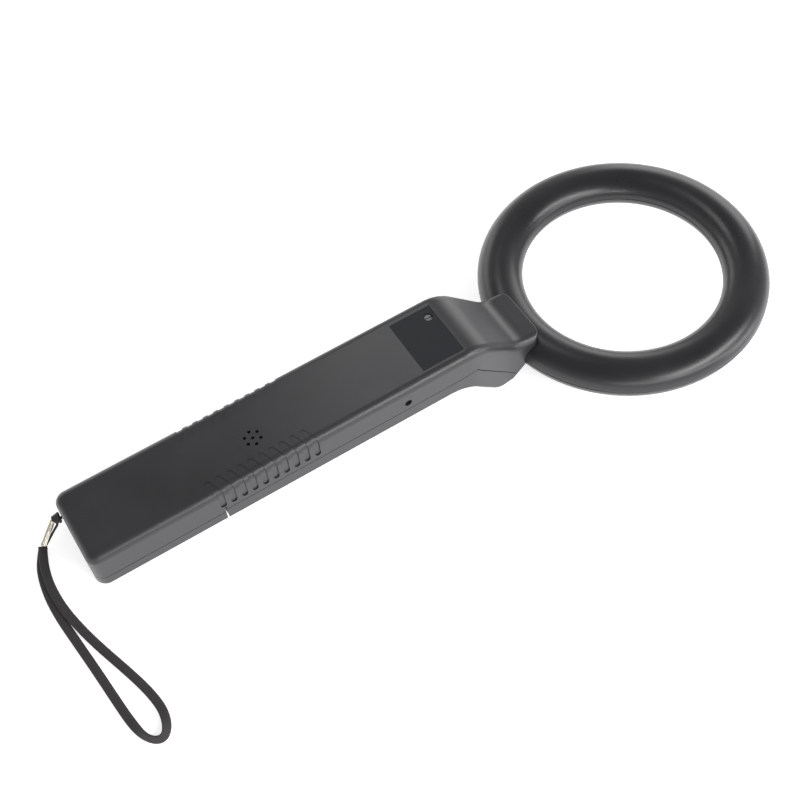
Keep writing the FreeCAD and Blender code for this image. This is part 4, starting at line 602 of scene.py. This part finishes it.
def round_strand(name, line, radius, sides=16):
    """A round strand of string: rings square to its line, of one radius or one for each point.

    Each ring is r cos t across and r sin t up."""
    tangent = headings(line)
    across = np.cross(tangent, (0.3, 0.2, 1.0))
    across /= np.linalg.norm(across, axis=1)[:, None]
    up = np.cross(tangent, across)
    angle = np.arange(sides) / sides * 2 * math.pi
    radius = np.broadcast_to(radius, len(line))[:, None]
    rings = line[:, None] + radius[:, :, None] * (
        np.cos(angle)[None, :, None] * across[:, None] + np.sin(angle)[None, :, None] * up[:, None]
    )
    run = np.r_[0, np.cumsum(np.linalg.norm(np.diff(line, axis=0), axis=1))]
    weave = np.stack(
        [
            np.abs(angle - math.pi)[None, :] * radius / MM,
            np.broadcast_to(run[:, None] / MM, (len(line), sides)),
        ],
        -1,
    )
    return tube_mesh(name, rings, cordage, weave)


def axis_frame(direction):
    """Two unit vectors square to a direction and to each other, turning right-handed about it."""
    side = np.cross(direction, (0.0, 0.0, 1.0))
    side /= np.linalg.norm(side)
    return side, np.cross(direction, side)


def drawn_ferrule():
    """A drawn tube: its outline, radius against distance, turned round the tube's axis.

    The outline runs up the outside over two rolled lips and back down the bore. A dent in the
    shape of a bell curve runs down one side, where the rolled sheet meets."""
    run = FERRULE_FOOT - FERRULE_TOP
    ahead = run / np.linalg.norm(run)
    end = np.linalg.norm(run) / MM
    outline = np.array(
        [
            (0.0, 1.05), (0.0, 1.35), (0.08, 1.52), (0.3, 1.6), (0.6, 1.58), (0.9, 1.48), (1.3, 1.44),
            (3.0, 1.46), (5.0, 1.5), (end / 2, 1.52), (end - 5.0, 1.5), (end - 3.0, 1.47),
            (end - 1.3, 1.46), (end - 0.9, 1.5), (end - 0.6, 1.6), (end - 0.3, 1.62),
            (end - 0.08, 1.54), (end, 1.35), (end, 1.05), (end - 1.5, 1.0), (1.5, 1.0),
        ]
    ) * MM
    side, up = axis_frame(ahead)
    sides = 96
    angle = np.arange(sides) / sides * 2 * math.pi
    away = (angle - SEAM_ANGLE + math.pi) % (2 * math.pi) - math.pi
    dent = SEAM_DEPTH * np.exp(-((away / SEAM_SPREAD) ** 2))
    # Only the outside is dented: the bore is narrower than 1.2 mm
    outer = np.clip((outline[:, 1] / MM - 1.2) / 0.2, 0, 1)
    radius = outline[:, 1, None] - outer[:, None] * dent[None, :]
    round_it = np.cos(angle)[:, None] * side + np.sin(angle)[:, None] * up
    rings = FERRULE_TOP + outline[:, 0, None, None] * ahead + radius[:, :, None] * round_it
    faces = grid_faces(len(outline), sides).tolist()
    side_index = np.arange(sides)
    beside = (side_index + 1) % sides
    last = (len(outline) - 1) * sides
    faces += np.stack([last + side_index, last + beside, beside, side_index], -1).tolist()
    return new_piece("crimped_ferrule", rings.reshape(-1, 3), faces, bright_nickel)


def string_knot():
    """Turns of the string drawn tight, widest against the tail wall and narrow at the ferrule.

    A helix whose middle and radius go in straight lines from one end to the other, with every turn
    in a plane that leans as the tail wall does."""
    share = np.linspace(0, 1, 200)[:, None]
    turns = share * 2 * math.pi * KNOT_TURNS + 0.6
    radius = KNOT_WALL_RADIUS + share * (KNOT_TUBE_RADIUS - KNOT_WALL_RADIUS)
    lean = np.array((-0.102, 0.0, 0.995))
    spoke = np.cos(turns) * np.array((0, 1.0, 0)) + np.sin(turns) * lean
    line = KNOT_WALL + share * (KNOT_TUBE - KNOT_WALL) + radius * spoke
    return round_strand("string_knot_turns", line, KNOT_STRAND)


strap, strap_line = strap_band()
string_line = evenly(smooth_line("string_line", STRING_ROUTE, 24), 0.3 * MM)[0]
# The string is drawn thinner towards the ferrule
string_radius = np.linspace(0.8, 0.45, len(string_line)) * MM
string = round_strand("eyelet_string", string_line, string_radius)
ferrule = drawn_ferrule()
knot = string_knot()
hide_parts("wrist_strap")
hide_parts("strap_string")
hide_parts("strap_ferrule")
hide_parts("strap_knot")


# Table and light


def white_table():
    """A matt white sheet; the camera and gloss see it lit a little more, and it keeps the shadow."""
    made, tree, place = new_material("matt_white_sheet")
    path = node(tree, "ShaderNodeLightPath")
    glossy, through = path.outputs["Is Glossy Ray"], path.outputs["Is Transmission Ray"]
    gloss = sum_of(tree, glossy, through, "MAXIMUM")
    plain = sum_of(tree, path.outputs["Is Camera Ray"], 0.66, "MULTIPLY")
    seen = sum_of(tree, plain, gloss, "MAXIMUM")
    grain = speckle(tree, place, 6, 2)
    sheet = node(
        tree,
        "ShaderNodeBsdfDiffuse",
        {"Color": tint(tree, grain, "#e9e9ea", "#ededee"), "Roughness": 0.3},
    )
    glow = node(
        tree,
        "ShaderNodeEmission",
        {"Color": (1, 1, 1, 1), "Strength": seen},
    )
    both = node(tree, "ShaderNodeAddShader", {0: sheet.outputs[0], 1: glow.outputs[0]})
    finish_surface(tree, both.outputs[0])
    mesh = bpy.data.meshes.new("table")
    far = 4
    corners = [(-far, -far, 0), (far, -far, 0), (far, far, 0), (-far, far, 0)]
    mesh.from_pydata(corners, [], [(0, 1, 2, 3)])
    mesh.materials.append(made)
    table = bpy.data.objects.new("table", mesh)
    bpy.context.scene.collection.objects.link(table)


def studio_world():
    """Soft light all round: white at the horizon and grey overhead."""
    world = bpy.data.worlds.new("studio")
    bpy.context.scene.world = world
    world.use_nodes = True
    tree = world.node_tree
    tree.nodes.clear()
    way = node(tree, "ShaderNodeTexCoord").outputs["Generated"]
    split = node(tree, "ShaderNodeSeparateXYZ", {"Vector": way})
    strength = spread(tree, split.outputs["Z"], 0.9, 0.3, 0.15, 0.7)
    back = node(tree, "ShaderNodeBackground", {"Color": (1, 1, 1, 1), "Strength": strength})
    node(tree, "ShaderNodeOutputWorld", {"Surface": back.outputs[0]})


def softbox(name, place, target, width, height, power):
    """A flat lamp that faces its target: lengths in metres, power in watts."""
    data = bpy.data.lights.new(name, "AREA")
    data.shape = "RECTANGLE"
    data.size = width
    data.size_y = height
    data.energy = power
    lamp = bpy.data.objects.new(name, data)
    lamp.location = place
    lamp.rotation_euler = (Vector(target) - Vector(place)).to_track_quat("-Z", "Y").to_euler()
    bpy.context.scene.collection.objects.link(lamp)


white_table()
studio_world()
softbox("near_softbox", (0.34, -0.62, 0.56), (0, 0, 0.02), 0.9, 0.18, 5)
softbox("low_softbox", (0.1, -0.82, 0.33), (0.1, 0, 0), 1.3, 0.14, 3)
softbox("side_softbox", (0.75, -0.6, 0.12), (0.06, 0, 0), 0.4, 0.2, 1.2)
softbox("far_softbox", (0.75, 0.45, 0.36), (0.1, 0, 0.02), 0.6, 0.4, 1.8)
softbox("back_softbox", (-0.2, 0.9, 0.3), (0.13, 0, 0), 0.7, 0.3, 1)
softbox("high_softbox", (0.05, 0.23, 0.42), (0, 0, 0.03), 0.14, 0.14, 0.18)

bpy.context.scene.view_settings.view_transform = "Standard"
